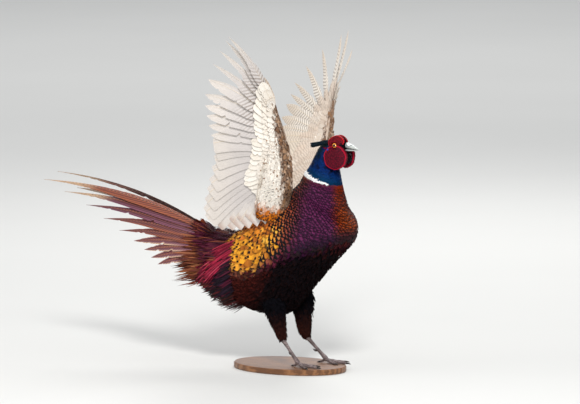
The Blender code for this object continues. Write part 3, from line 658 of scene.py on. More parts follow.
def scale_look(name, light, dark, scale):
    """Horny scales in close plates."""
    look = Look(name)
    plate = look.band(look.cells(scale, "DISTANCE_TO_EDGE"), 0.02, 0.14)
    tint = look.mix(light, (dark, look.band(look.noise(70), 0.35, 0.7)))
    look.bump(plate, 0.0004, 0.7)
    return look.finish(look.mix(dark * 0.6, (tint, plate)), 0.5, 0.4)


def wood_look():
    """Oiled oak with its grain along the bird."""
    look = Look("base_wood")
    x, y, z = look.parts(look.place())
    stretched = look.node("CombineXYZ", {0: x * 0.12, 1: y, 2: z})[0]
    grain = look.noise(170, 6, stretched, 0.65)
    pores = look.band(look.noise(1500, 2, stretched), 0.56, 0.7)
    rings = look.math("SINE", (y + grain * 0.022) * 520)
    colour = look.mix(linear(104, 66, 38), (linear(146, 100, 62), look.band(rings, -1, 1)))
    colour = look.mix(colour, (linear(60, 36, 22), pores * 0.5))
    look.bump(rings * 0.3 - pores, 0.00015, 0.4)
    return look.finish(colour, 0.42, 0.4, coat_weight=0.15, coat_roughness=0.3)


def shades(count, spread_by=0.16):
    return 0.5 + draw.normal(0, spread_by, count)


def traits(spot, edge, shade):
    """What a small feather's pattern reads: tip spot, edge band and shade."""
    return np.stack(np.broadcast_arrays(spot, edge, shade), -1)


def blades(lengths, widths, rows, columns, roundness, dome, fray, slim=0.3):
    """The shape of small feathers: each point's place along and across, its way ahead and aside, and its sag.

    fray draws the points back, most at the tip, so that no two feathers are alike.
    """
    even = np.linspace(0, 1, rows)[:, None]
    grown = 1 - (1 - even) ** 1.25
    half = np.minimum(1, slim + (1 - slim) * grown / 0.35)
    fall = np.clip((grown - roundness) / (1 - roundness), 0, 1)
    across = np.linspace(-1, 1, columns)
    share = half * np.sqrt(np.clip(1 - fall**2.2, 0.012, 1)) * across
    pulls = draw.uniform(0, 1, (len(lengths), 1, columns)) ** 2 * fray
    ahead = grown * each(lengths) * (1 - 0.1 * across**2) * (1 - pulls * even**4)
    return grown, (across + 1) / 2, ahead, share * each(widths), dome * each(widths) * share**2


# How deep a feather's root lies under the skin
ROOT_DEPTH = 1.2


def trunk_feathers(coat, along, turn, lengths, widths, lift, inset, yaw, roll, ground, mark, trait,
                   rows, columns, roundness, dome=0.1, fray=0.12):
    """Feathers that follow the body's own curve from their roots toward the tail."""
    grown, across, ahead, aside, sag = blades(lengths, widths, rows, columns, roundness, dome, fray)
    _, _, lengthwise, around = trunk.at(along, turn)
    cos, sin = each(np.cos(yaw)), each(np.sin(yaw))
    back = (ahead * cos - aside * sin) / each(np.linalg.norm(lengthwise, axis=-1))
    over = (ahead * sin + aside * cos) / each(np.maximum(np.linalg.norm(around, axis=-1), 1e-3))
    points, normals, _, _ = trunk.at(each(along) - back, each(turn) + over)
    rise = each(lift + ROOT_DEPTH) * grown**0.9 - ROOT_DEPTH - sag - each(inset) + aside * each(roll) * grown
    coat.add(points + normals * rise[..., None], across, grown, ground, mark, trait, trunk.home(along, turn))


def straight_feathers(coat, roots, aheads, normals, lengths, widths, lift, ground, mark, trait, home,
                      rows, columns, curl=0.0, roundness=0.5, dome=0.12, fray=0.12, slim=0.3, droop=0.0):
    """Feathers laid straight from their roots. They rise by lift at the tip, bow by curl and sag by droop."""
    grown, across, ahead, aside, sag = blades(lengths, widths, rows, columns, roundness, dome, fray, slim)
    aheads = unit(aheads)
    sides = unit(np.cross(normals, aheads))
    normals = unit(np.cross(aheads, sides))
    rise = each(lift) * grown + curl * each(lengths) * 4 * grown * (1 - grown) - sag
    points = each(roots) + each(aheads) * ahead[..., None]
    points = points + each(sides) * aside[..., None] + each(normals) * rise[..., None]
    points[..., 2] -= droop * grown**2
    coat.add(points, across, grown, ground, mark, trait, home)


# The white ring, by rib and by how far round the neck it comes
COLLAR_RIB = 16.3
COLLAR_HALF = 4.8
COLLAR_END = 2.3
# Cosine and sine of the quarter view's angles, round the bird and up
ROUND_COS, ROUND_SIN = 0.848, 0.530
UP_COS, UP_SIN = 0.9925, 0.122
# In that view: where the black belly begins by place across, and where the gold ends by height
BELLY_LINE = ([-160, -110, -82, -57, -31, 0, 41, 82, 113], [190, 176, 180, 197, 213, 225, 233, 243, 250])
GOLD_LINE = ([150, 185, 218, 269, 304, 345, 374], [-92, -78, -38, -22, -12, -4, 4])
# Where the brown back begins, its height by x
BACK_LINE = ([-150, -56, 30], [226, 286, 352])
# The feathers' spacing by their distance from the collar, and the rows' as a share of it
FEATHER_PITCH = ([0, 50, 95, 125, 165, 200, 260], [5.4, 6.2, 6.8, 9.2, 12.0, 14.0, 14.0])
ROW_STEP = 0.84


def side_view(points):
    """How far along and how high a place looks from the front quarter, alike for both sides of the bird."""
    x, y, z = np.moveaxis(points, -1, 0)
    y = -np.abs(y)
    return ROUND_COS * x + ROUND_SIN * y, UP_COS * z + UP_SIN * (ROUND_COS * y - ROUND_SIN * x)


def markings(points, wander=0.0):
    """Ground colour, mark colour, tip spot and edge band of the body's feathers, and the share of gold."""
    across, height = side_view(points)
    across = across + wander
    below_collar = step(350, 374, height) * fade(60, 96, across)
    front = step(80, 100, across) * step(232, 252, height)
    bulge = step(96, 118, across) * step(248, 262, height) * fade(300, 330, height)
    from_gold = across - np.interp(height, *GOLD_LINE)
    gold = fade(-7, 9, from_gold)
    lined = fade(14, 44, from_gold) * (1 - gold)
    lines = step(-30, -12, from_gold) * fade(26, 50, from_gold)
    over_belly = height - np.interp(across, *BELLY_LINE)
    fringe = fade(4, 26, over_belly)
    belly = fade(-8, 6, over_belly)
    vent = belly * fade(-84, -44, across - 0.35 * (height - 130))
    rump = fade(-132, -118, across)
    back = step(18, 30, points[..., 2] - np.interp(points[..., 0], *BACK_LINE))
    back = back * fade(18, 40, np.abs(points[..., 1]))
    ground = layered(
        BREAST,
        (COLLAR_BROWN, 0.25 * below_collar),
        (COPPER, front),
        (COPPER_LIGHT, 0.7 * bulge),
        (blend(LINED, LINED_DARK, step(4, 30, from_gold)), 0.9 * lined),
        (blend(ORANGE, GOLD, fade(246, 300, height)), gold),
        (blend(MAROON, DUSK, step(-30, 20, across)), 0.85 * fringe),
        (BELLY, belly),
        (VENT, 0.85 * vent),
        (RUMP_MARK, rump * step(140, 175, height)),
        (BACK, 0.7 * back),
    )
    flank = ((FLANK_MARK, share) for share in (front, np.maximum(gold, lined), lines))
    mark = layered(BREAST_RIM, *flank, (THIGH, belly), (BELLY, vent), (RUMP, 0.5 * rump))
    edge = np.maximum(0.85, lined) * (1 - gold) + gold * (0.22 + 0.4 * step(300, 345, height))
    edge = np.maximum(np.maximum(edge, lines), 0.7 * fringe) * (1 - 0.7 * belly)
    spot = gold * (1 - 0.75 * step(262, 330, height)) * (1 - 0.6 * lines) * (1 - belly) * (1 - rump)
    return ground, mark, spot, np.maximum(edge, 0.6 * vent), gold * (1 - belly)


def collar_line(turn):
    """The middle of the white ring at an angle round the neck."""
    return trunk.at_rib(COLLAR_RIB) - 3.0 * step(0.3, 2.2, np.abs(turn))


def neck_markings(along, turn):
    """Colours of the neck and head, with the share of the white ring."""
    wide = np.abs(turn)
    level = trunk.step(17, 21, along)
    patch = np.sin(along * 0.23 + 3 * np.sin(turn * 2.3)) * np.sin(turn * 5.1 + along * 0.11)
    ground = layered(
        NECK_BLUE,
        (NECK_GREEN, 0.7 * (1 - trunk.step(16.4, 18.4, along + 5 * wide))),
        (NECK_DARK, 0.9 * step(0.0, 0.6, patch) * trunk.step(16.8, 17.6, along)),
        (NECK_DARK, 0.6 * step(1.9, 2.7, wide) * level),
        (CROWN, level * fade(0.9, 1.9, wide)),
        (BELLY, trunk.step(20.4, 21.6, along) * step(1.6, 2.3, wide)),
        (BELLY, 0.9 * trunk.step(23.4, 24.2, along)),
    )
    half = np.where(wide > COLLAR_END, 0, COLLAR_HALF * (1 - 0.68 * step(0.4, 2.2, wide)))
    return ground, step(-0.4, 0.4, half - np.abs(along - collar_line(turn)))


def coat_depth(along):
    """How deep the skin lies under the feathers' tips."""
    places = [trunk.at_rib(rib) for rib in (0, 4, 14, 17, 21, len(RIBS) - 1)]
    return np.interp(along, places, [2.0, 4.5, 4.5, 3.0, 1.3, 1.0])


# Bare parts of the head: eye, wattle, comb over the eye, chin, and the bill's root as x and z
EYE = np.array([116.7, 10.6, 458.4])
# The eyeball lies just inside the solid one
EYE_RADIUS = 7.5 * 0.99
SOCKET_FLOOR = 13.6
WATTLE = (121.5, 20.0, 434.5)
WATTLE_SIZE = (24.5, 6.5, 25.0)
WATTLE_TOE_IN = math.radians(11)
COMB = (117.8, 14.6, 464.2)
COMB_SIZE = (16.6, 3.9, 14.2)
BLUE_SPOT = (105.8, 450.6)
CHIN = np.array([135.5, 0.0, 433.8])
CHIN_SIZE = np.array([12.0, 7.5, 12.4])
BILL = (137.0, 459.0)
BILL_LENGTH = 28.0


def bare_face(points):
    """1 where the head is bare red skin and 0 under feathers."""
    x, y, z = np.moveaxis(points, -1, 0)
    disc = np.hypot((x - WATTLE[0]) / 25.0, (z - WATTLE[2]) / 25.5)
    brow = np.hypot((x - COMB[0]) / 15.6, (z - COMB[2] + 2) / 13.5)
    strip = np.hypot((x - 95) / 11.0, (z - 453.5) / 3.6)
    bare = np.maximum(np.maximum(fade(0.84, 0.96, disc), fade(0.8, 0.96, brow)), fade(0.7, 1.0, strip))
    return bare * step(7.5, 10.5, np.abs(y))


def socket(x, z, floor):
    """How far out the skin may come round the eye."""
    return floor + 12 * step(4.8, 10.5, np.hypot(x - EYE[0], z - EYE[2]))


def cheek_height(x, z):
    """How far from the middle the wattle lies."""
    return WATTLE[1] - (x - WATTLE[0]) * math.sin(WATTLE_TOE_IN)


def brow_height(x, z):
    """How far from the middle the comb lies: it follows the skull, closer in at its front and top."""
    return COMB[1] - 0.0145 * max(0.0, x - 112) ** 2 - 0.021 * max(0.0, z - 458) ** 2


def skin_piece(look):
    """The bare body under the feathers, with the thighs joined to it."""
    along, turn = np.meshgrid(np.linspace(0, trunk.length, 220), ring(96), indexing="ij")
    points, normals, _, _ = trunk.at(along, turn)
    bare = bare_face(points)
    inset = coat_depth(along) * (1 - bare) + 1.6 * bare
    verts, faces = closed_rings(points - normals * inset[..., None])
    x, y, z = verts.T
    room = np.where((x > 96) & (z > 440), socket(x, z, SOCKET_FLOOR - 1), np.inf)
    verts[:, 1] = np.sign(y) * np.minimum(np.abs(y), room)
    skin = linked("skin", solid_mesh("skin", verts, faces), look)
    joined = bpy.data.collections.new("skin_parts")
    bpy.context.scene.collection.children.link(joined)
    for tube in thighs.values():
        mesh = solid_mesh("thigh_part", *closed_rings(tube.at(*tube.grid(40, 32), THIGH_COAT)[0]))
        joined.objects.link(bpy.data.objects.new("thigh_part", mesh))
    union = skin.modifiers.new("Join", "BOOLEAN")
    union.operand_type = "COLLECTION"
    union.collection = joined
    union.operation = "UNION"
    union.solver = "MANIFOLD"
    graph = bpy.context.evaluated_depsgraph_get()
    mesh = bpy.data.meshes.new_from_object(skin.evaluated_get(graph))
    skin.modifiers.clear()
    skin.data = mesh
    for part in list(joined.objects):
        bpy.data.objects.remove(part, do_unlink=True)
    bpy.data.collections.remove(joined)
    colour_layer(mesh, "ground", skin_colours(mesh))
    join_frame(skin, look, ("torso", "neck", "head", "thigh_right", "thigh_left"))


def skin_colours(mesh):
    """The coat's own ground colours, darkened as painted shade for the gaps between the feathers, with red
    where the face is bare.
    """
    points = np.empty(len(mesh.vertices) * 3, np.float32)
    mesh.vertices.foreach_get("co", points)
    points = points.reshape(-1, 3) / MM - np.array([0, 0, GROUND])
    x, _, z = points.T
    head = step(367, 378, z + 0.35 * (x - 80))
    return layered(
        # Painted shade: the coat's colours darkened where the skin shows between the feathers
        markings(points)[0] * 0.6,
        (NECK_BLUE * 0.5, head),
        (THIGH, fade(118, 136, z)),
        (BELLY, head * step(112, 120, x)),
        (SKIN_RED, bare_face(points) * head),
    )


def scattered(low, high, count):
    """Random places on the trunk: along, turn, points and the share of the greatest area there."""
    along = draw.uniform(low, high, count)
    turn = draw.uniform(-math.pi, math.pi, count)
    points, _, lengthwise, around = trunk.at(along, turn)
    area = np.linalg.norm(np.cross(lengthwise, around), axis=-1)
    return along, turn, points, area / area.max()


def rear_first(kept, along):
    """The kept indices from the tail forward, as the feathers overlap."""
    return kept[np.argsort(along[kept])]


def spaced(points, radii):
    """The indices of points taken in turn, each farther than its radius from those already taken."""
    cells = np.floor(points / float(radii.max())).astype(int)
    grid = {}
    kept = []
    spans = [(i, j, k) for i in (-1, 0, 1) for j in (-1, 0, 1) for k in (-1, 0, 1)]
    for index, (x, y, z) in enumerate(points):
        i, j, k = cells[index]
        near = radii[index] ** 2
        taken = any(
            (px - x) ** 2 + (py - y) ** 2 + (pz - z) ** 2 < near
            for di, dj, dk in spans
            for px, py, pz in grid.get((i + di, j + dj, k + dk), ())
        )
        if not taken:
            grid.setdefault((i, j, k), []).append((x, y, z))
            kept.append(index)
    return np.array(kept)


def body_rows():
    """Where the body's feathers grow: rows at even distances from the collar, each staggered on the last."""
    turns = np.linspace(-math.pi, math.pi, 361)
    alongs = np.linspace(trunk.at_rib(COLLAR_RIB) + 2, -4, 600)
    points = trunk.at(*np.meshgrid(alongs, turns, indexing="ij"))[0]
    steps = np.linalg.norm(np.diff(points, axis=0), axis=-1)
    reach = np.vstack([np.zeros(len(turns)), np.cumsum(steps, axis=0)])
    found = []
    distance = 0.0
    while distance < reach.max():
        gap = np.interp(distance, *FEATHER_PITCH)
        along = np.array([np.interp(distance, column, alongs) for column in reach.T])
        inside = distance <= reach[-1]
        row = trunk.at(along, turns)[0]
        span = np.linalg.norm(np.diff(row, axis=0), axis=-1) * (inside[1:] & inside[:-1])
        around = np.concatenate([[0], np.cumsum(span)])
        count = int(around[-1] / gap)
        if count > 2:
            stagger = 0.5 * (len(found) % 2) + draw.normal(0, 0.1, count)
            spots = (np.arange(count) + stagger) * around[-1] / count
            turn = np.interp(spots % around[-1], around, turns)
            place = np.interp(turn, turns, along) + draw.normal(0, 0.07 * gap, count)
            found.append(np.stack([place, turn, np.full(count, gap)]))
        distance += gap * ROW_STEP
    return np.concatenate(found, axis=1)


def body_coat(look):
    """The small feathers of the breast, mantle and flanks."""
    coat = Coat("body_feathers", look)
    along, turn, gap = body_rows()
    lengths = 2.35 * gap + 4
    seen = trunk.at(along - 0.7 * lengths, turn)[0]
    across, height = side_view(seen)
    kept = np.flatnonzero(height - np.interp(across, *BELLY_LINE) > draw.normal(-9, 3, len(along)))
    along, turn, gap, lengths, seen = take(rear_first(kept, along), along, turn, gap, lengths, seen)
    count = len(along)
    lengths = lengths * draw.normal(1, 0.05, count)
    ground, mark, spot, edge, gold = markings(seen, draw.normal(0, 2.0, count))
    lit = draw.uniform(0, 1, count)
    ground = blend(ground, SHADED_GOLD, 0.85 * gold * step(0.35, 0.9, lit))
    ground = blend(ground, LIT_GOLD, 0.6 * gold * fade(0.0, 0.25, lit))
    spot = spot * (draw.uniform(0, 1, count) < 0.8)
    edge = edge + 0.4 * gold * (draw.uniform(0, 1, count) < 0.3)
    depth = coat_depth(along)
    lift = depth + draw.normal(0.2, 0.25, count) + gold * draw.uniform(0.2, 1.8, count)
    trait = traits(spot, np.clip(edge, 0, 1), shades(count, 0.1 + 0.06 * gold))
    yaw = draw.normal(0, 1, count) * (0.03 + 0.05 * gold)
    roll = draw.normal(0, 1, count) * (0.03 + 0.07 * gold)
    wide = gap * draw.normal(1, 0.05, count)
    for chosen, share, roundness, dome in ((gold < 0.9, 0.74, 0.62, 0.1), (gold >= 0.9, 0.66, 0.5, 0.14)):
        part = take(chosen, along, turn, lengths, share * wide, lift, depth, yaw, roll, ground, mark, trait)
        trunk_feathers(coat, *part, 10, 7, roundness, dome)
    return coat


def belly_coat(look):
    """The loose black and dark brown feathers of the belly and vent, laid over the ends of the rows above."""
    coat = Coat("belly_feathers", look)
    tries = 30000
    along, turn, points, area = scattered(-2, trunk.at_rib(COLLAR_RIB - 2), tries)
    across, height = side_view(points)
    over_line = height - np.interp(across, *BELLY_LINE)
    kept = (over_line < draw.normal(2, 5, tries)) & (draw.uniform(0, 1, tries) < 0.55 * area)
    order = rear_first(np.flatnonzero(kept), along)
    along, turn, points, across, over_line = take(order, along, turn, points, across, over_line)
    count = len(along)
    rear = fade(-120, -40, across)
    ground, mark, _, _, _ = markings(points, draw.normal(0, 8.0, count))
    tipped = step(30, 90, across) * step(-26, -4, over_line) * (draw.uniform(0, 1, count) < 0.4)
    rusty = rear * draw.uniform(0, 0.7, count) * step(0, 60, -across)
    ground = layered(ground, (BELLY_TIP, 0.8 * tipped), (VENT, rusty))
    lengths = (22 + 12 * rear) * draw.normal(1, 0.15, count)
    depth = coat_depth(along)
    lift = depth + draw.uniform(-0.4, 2.2 + 3.0 * rear.mean(), count)
    trait = traits(0, 0.35, shades(count, 0.2))
    widths = (2.6 + 1.2 * rear) * draw.normal(1, 0.15, count)
    yaw = draw.normal(0, 0.16, count)
    trunk_feathers(coat, along, turn, lengths, widths, lift, depth, yaw, np.zeros(count), ground, mark, trait,
                   8, 4, 0.4, fray=0.3)
    return coat


def neck_coats(look, ring_look):
    """The short glossy feathers of the neck and head, and the white ring."""
    start = trunk.at_rib(COLLAR_RIB) - 7
    tries = 120000
    places = [start, trunk.at_rib(17.5), trunk.at_rib(21), trunk.length]
    along, turn, points, area = scattered(start, trunk.length, tries)
    kept = (draw.uniform(0, 1, tries) < area) & (bare_face(points) < 0.5)
    along, turn, points = take(kept, along, turn, points)
    near_ring = np.abs(along - collar_line(turn) - 5) < 7
    kept = spaced(points, np.where(near_ring, 1.4, np.interp(along, places, [2.6, 2.5, 1.7, 1.3])))
    along, turn = take(rear_first(kept, along), along, turn)
    count = len(along)
    lengths = np.interp(along, places, [11, 10, 6.5, 4.5]) * draw.normal(1, 0.08, count)
    widths = np.interp(along, places, [2.6, 2.4, 1.6, 1.2]) * draw.normal(1, 0.08, count)
    depth = coat_depth(along)
    seen = along - 0.72 * lengths
    ground, white = neck_markings(seen, turn)
    white = white > 0.5
    below = np.where(white, 0, step(0, -1, seen - collar_line(turn)))
    ground = layered(ground, (markings(trunk.at(seen, turn)[0])[0], below), (WHITE, white))
    lift = depth + draw.normal(0.1, 0.2, count) + 0.8 * white
    trait = traits(0, np.where(white, 0.0, 0.3), shades(count, 0.12))
    yaw = draw.normal(0, 0.08, count)
    roll = np.zeros(count)
    coat, collar = Coat("neck_feathers", look), Coat("collar_feathers", ring_look)
    for part, chosen, wide in ((coat, ~white, 1.0), (collar, white, 1.5)):
        shape = take(chosen, along, turn, lengths, wide * widths, lift, depth, yaw, roll)
        trunk_feathers(part, *shape, *take(chosen, ground, ground * 0.3, trait), 6, 4, 0.5)
    chin_feathers(coat)
    return coat, collar


def chin_feathers(coat):
    """Short black feathers on the throat between the wattles."""
    count = 420
    spots = unit(draw.normal(0, 1, (count, 3)))
    spots = spots[np.argsort(-spots[:, 0] - spots[:, 2])]
    normals = unit(spots / CHIN_SIZE)
    aheads = np.array([-0.5, 0, -1.0]) + draw.normal(0, 0.15, (count, 3))
    aheads = unit(aheads - normals * (aheads * normals).sum(-1, keepdims=True))
    ground = np.broadcast_to(BELLY, (count, 3))
    trait = traits(0, 0.2, shades(count))
    home = np.stack([0.9 + 0.02 * spots[:, 0], 0.6 + 0.02 * spots[:, 2]], -1)
    lengths = draw.normal(6.5, 0.7, count)
    straight_feathers(coat, CHIN + spots * (CHIN_SIZE - 1.2), aheads, normals, lengths, np.full(count, 1.5),
                      draw.normal(0.9, 0.3, count), ground, ground * 0.4, trait, home, 6, 4)


def thigh_coat(look):
    """Loose dark feathers down both thighs."""
    coat = Coat("thigh_feathers", look)
    count = 1500
    for sign, tube in thighs.items():
        along = np.sort(draw.uniform(0, 1, count) ** 0.9 * (tube.length - 3))[::-1]
        turn = draw.uniform(-math.pi, math.pi, count)
        points, normals, ahead = tube.at(along, turn)
        size = np.interp(along, [0, tube.length], [1.0, 0.45])
        vary = draw.normal(1, 0.1, count)
        ground = blend(BELLY, THIGH, step(45, 110, along + draw.normal(0, 8, count)))
        ground = blend(ground, VENT, 0.4 * step(-0.2, 0.6, -normals[:, 0]) * step(55, 100, along))
        trait = traits(0, 0.2, shades(count))
        turned = (turn + math.pi) / FULL_TURN
        home = np.stack([0.05 + 0.4 * along / tube.length, 0.56 + 0.12 * turned + 0.14 * (sign > 0)], -1)
        sway = unit(ahead + np.cross(ahead, normals) * draw.normal(0, 0.17, count)[:, None])
        depth = 3.2 * size
        roots = points - normals * (depth + 0.8)[:, None]
        straight_feathers(coat, roots, sway, normals, 25 * size * vary, 4.2 * size * vary,
                          depth * draw.normal(1.15, 0.35, count), ground, BELLY[None], trait, home, 6, 4)
    return coat


# Loose feathers round the tail's root. A zone has their number, their places by x and by turn from the back,
# pitch and yaw in degrees from its top to its bottom, length, half width, lift, scatter, droop and colours
RUMP_ZONES = [
    (1500, (-190, -124), (0.0, 1.3), (11, -3), (0, 14), 50, 1.3, -2, 0.03, 0,
     (RUMP_MARK, RUMP_DEEP, RUMP_TIP)),
    (1300, (-134, -100), (0.75, 1.3), (-34, -44), (2, 0), 76, 1.2, 5, 0.035, 0,
     (RUMP, RUMP_DEEP, RUMP_LIGHT)),
    (900, (-128, -96), (1.2, 2.1), (-30, -34), (0, 0), 42, 1.4, 1, 0.06, 0,
     (DUSK, BELLY, RUMP_DEEP)),
    (900, (-178, -124), (1.2, 2.2), (-20, -20), (4, 4), 46, 1.3, -1, 0.07, 0,
     (RUMP_DEEP, BELLY, RUMP_TIP)),
    (1300, (-197, -156), (1.4, 2.2), (0, -10), (9, 8), 76, 1.2, 1, 0.07, 3,
     (RUMP_TIP, RUST, RUST_TIP)),
    (1600, (-185, -100), (1.9, 3.14), (-14, -14), (5, 0), 38, 1.4, 1, 0.1, 3,
     (VENT, BELLY, VENT_TIP)),
]


def rump_coat(look):
    """Loose hair-like feathers over the tail's root, down its sides and behind the vent."""
    coat = Coat("rump_feathers", look)
    tries = 9000
    for most, reach, turns, pitches, yaws, length, half, lift, scatter, droop, colours in RUMP_ZONES:
        along = draw.uniform(-4, trunk.at_rib(8), tries)
        turn = draw.uniform(*turns, tries) * draw.choice([-1.0, 1.0], tries)
        points, normals, _, _ = trunk.at(along, turn)
        kept = np.flatnonzero((points[:, 0] > reach[0]) & (points[:, 0] < reach[1]))[:most]
        along, turn, points, normals = take(rear_first(kept, along), along, turn, points, normals)
        count = len(along)
        pitch, yaw = (
            np.radians(np.interp(np.abs(turn), turns, ends)) + draw.normal(0, scatter, count)
            for ends in (pitches, yaws)
        )
        yaw = yaw * np.sign(turn)
        aheads = np.stack([-np.cos(pitch) * np.cos(yaw), np.cos(pitch) * np.sin(yaw), np.sin(pitch)], -1)
        inward = np.minimum((aheads * normals).sum(-1), 0)[:, None]
        aheads = unit(aheads - normals * inward * 0.85)
        ground = blend(colours[0], colours[1], draw.uniform(0, 1, count))
        ground = blend(ground, colours[2], 0.8 * (draw.uniform(0, 1, count) < 0.22))
        trait = traits(0, 0.25, shades(count, 0.2))
        lengths = length * draw.normal(1, 0.14, count)
        widths = half * draw.normal(1, 0.2, count)
        rise = lift + draw.normal(0, 2.0, count)
        sag = droop * draw.uniform(0.3, 1.2, count)
        straight_feathers(coat, points - normals * 2.5, aheads, normals, lengths, widths, rise,
                          ground, ground * 0.35, trait, trunk.home(along, turn), 9, 3,
                          curl=0.05, roundness=0.3, fray=0.2, slim=0.6, droop=each(sag))
    return coat


# Ear tufts: root, tip, and by the share of their length their half height and half width
TUFT_ROOT = (98.0, 12.0, 463.5)
TUFT_TIP = (62.0, 22.0, 456.0)
TUFT_SHAPE = [(0, 0.2, 0.45, 0.7, 0.9, 1.0), (5.4, 5.0, 5.0, 5.8, 6.6, 5.6), (3.4, 3.4, 3.0, 2.8, 2.6, 2.0)]


def ear_coat(look):
    """The two blunt tufts of narrow black-green feathers behind the eyes."""
    coat = Coat("ear_feathers", look, ("ear_tuft_right", "ear_tuft_left"))
    count = 520
    for sign in (-1, 1):
        root, tip = (np.array(mirrored(point, sign)) for point in (TUFT_ROOT, TUFT_TIP))
        ahead = unit(tip - root)
        side = unit(np.cross([0, 0, 1.0], ahead))
        up = np.cross(ahead, side)
        angle = draw.uniform(0, FULL_TURN, count)
        radius = np.sqrt(draw.uniform(0.1, 1, count))
        start = np.sort(draw.uniform(-0.12, 0.72, count))[::-1]
        end = np.minimum(start + draw.uniform(0.24, 0.42, count), draw.uniform(0.93, 1.02, count))
        high, wide = up * np.cos(angle)[:, None], side * np.sin(angle)[:, None]
        ends = []
        for places, inner in ((start, 0.72), (end, 0.98)):
            tall, broad = (radius * inner * np.interp(places, TUFT_SHAPE[0], row) for row in TUFT_SHAPE[1:])
            ends.append(root + (tip - root) * places[:, None] + high * tall[:, None] + wide * broad[:, None])
        aheads = ends[1] - ends[0]
        normals = unit(high + wide + draw.normal(0, 0.2, (count, 3)))
        ground = blend(CROWN, TUFT_BLUE, draw.uniform(0, 1, count))
        trait = traits(0, 0.3, shades(count))
        home = np.stack([0.1 + 0.2 * start + (0.5 if sign > 0 else 0), np.full(count, 0.69)], -1)
        lengths = np.linalg.norm(aheads, axis=-1)
        straight_feathers(coat, ends[0], aheads, normals, lengths, np.full(count, 1.3), np.zeros(count),
                          ground, ground * 0.3, trait, home, 7, 4, roundness=0.6, slim=0.5)
    return coat


# Arms of the wings: leading edge x, outward y and z, depth back from it, thickness
ARMS = {
    -1: [(24, 36, 312, 66, 34), (32, 50, 342, 66, 30), (44, 60, 374, 64, 24), (50, 72, 415, 58, 19),
         (50, 79, 445, 42, 16), (46, 86, 468, 31, 14), (43, 98, 502, 26, 11), (39, 110, 535, 19, 8),
         (37, 118, 553, 10, 5)],
    1: [(24, 36, 312, 66, 34), (32, 50, 342, 66, 30), (44, 60, 372, 64, 24), (50, 72, 408, 58, 19),
        (49, 79, 436, 42, 16), (46, 86, 456, 31, 14), (42, 97, 486, 26, 11), (37, 107, 514, 19, 8),
        (35, 114, 529, 10, 5)],
}
ARM_END = 8
ARM_DEPTH = 66
ARM_CHORD = Vector((-0.77, 0.0, -0.64))
# Key flight feathers: number from the outermost, place along the arm, tip x, outward y and z
QUILL_KEYS = {
    -1: [(0, 7.7, 1, 234, 692), (1, 7.4, -12, 224, 682), (3, 6.7, -58, 200, 631), (5, 6.1, -91, 178, 566),
         (7, 5.6, -101, 158, 520), (9, 5.1, -103, 139, 478), (11, 4.6, -106, 118, 435),
         (13, 4.0, -129, 98, 374), (16, 3.1, -153, 78, 300), (18, 2.5, -112, 64, 289),
         (21, 1.7, -42, 62, 306)],
    1: [(0, 7.7, 6, 234, 628), (1, 7.4, 2, 225, 668), (2, 7.0, -9, 215, 660), (3, 6.7, -44, 197, 629),
        (4, 6.4, -73, 180, 594), (5, 6.1, -92, 166, 560), (6, 5.8, -95, 154, 537), (8, 5.3, -104, 134, 490),
        (11, 4.6, -111, 114, 424), (13, 4.0, -128, 95, 373), (16, 3.1, -148, 76, 306),
        (18, 2.5, -112, 64, 289), (21, 1.7, -42, 62, 306)],
}
# The keys count the solid's feathers, which are fewer within the primaries than the scene's
QUILLS = 25
CAD_QUILLS = 22
PRIMARIES = 10
NARROW_PRIMARIES = {-1: 4, 1: 7}
QUILL_DEPTH = 0.6
QUILL_TILT = math.radians(13)
QUILL_SWEEP = 0.05
QUILL_CAMBER = 0.03
# Rows of coverts: root's depth and rise in the arm, share of the quill's length, rise, widths, upper side
COVERT_ROWS = [
    (0.46, 0.30, 0.40, 3.4, (9.0, 12.0), True),
    (0.34, 0.38, 0.24, 6.2, (8.5, 10.5), True),
    (0.24, 0.42, 0.13, 8.4, (8.0, 9.5), True),
    (0.46, -0.30, 0.36, -4.6, (9.0, 12.0), False),
    (0.34, -0.38, 0.21, -7.2, (8.5, 10.5), False),
    (0.24, -0.42, 0.11, -9.0, (8.0, 9.5), False),
]
# The thumb's feathers: place along the arm and length
THUMB = [(5.3, 46), (5.15, 40), (5.0, 33), (4.85, 25)]


def arm_frame(sign, place):
    """The leading edge, chord, upper side, depth and thickness of an arm at a place along it."""
    x, y, z, depth, thick = between(ARMS[sign], place)
    ahead = between(ARMS[sign], min(place + 0.5, ARM_END)) - between(ARMS[sign], max(place - 0.5, 0))
    ahead = mirrored(ahead, sign).normalized()
    chord = (ARM_CHORD - ahead * ahead.dot(ARM_CHORD)).normalized()
    return mirrored((x, y, z), sign), chord, ahead.cross(chord) * sign, depth, thick


def arm_point(sign, place, turn, inset):
    """A point and outward normal of the arm's surface, turn running from its leading edge over the top."""
    edge, chord, over, depth, thick = arm_frame(sign, place)
    half, deep = depth / 2 - inset, thick / 2 - inset
    point = edge + chord * depth / 2 - chord * half * math.cos(turn) + over * deep * math.sin(turn)
    return point, (-chord * deep * math.cos(turn) + over * half * math.sin(turn)).normalized()


def fan_overs(spots, aheads, frames):
    """The upper side of each feather in a fan, smoothed over its neighbours."""
    overs = []
    for number, ahead in enumerate(aheads):
        across = spots[min(number + 1, len(spots) - 1)] - spots[max(number - 1, 0)]
        over = ahead.cross(across).normalized()
        overs.append(over if over.dot(frames[number][2]) > 0 else -over)
    near = (overs[max(number - 3, 0) : number + 4] for number in range(len(overs)))
    return [sum(part, Vector()).normalized() for part in near]


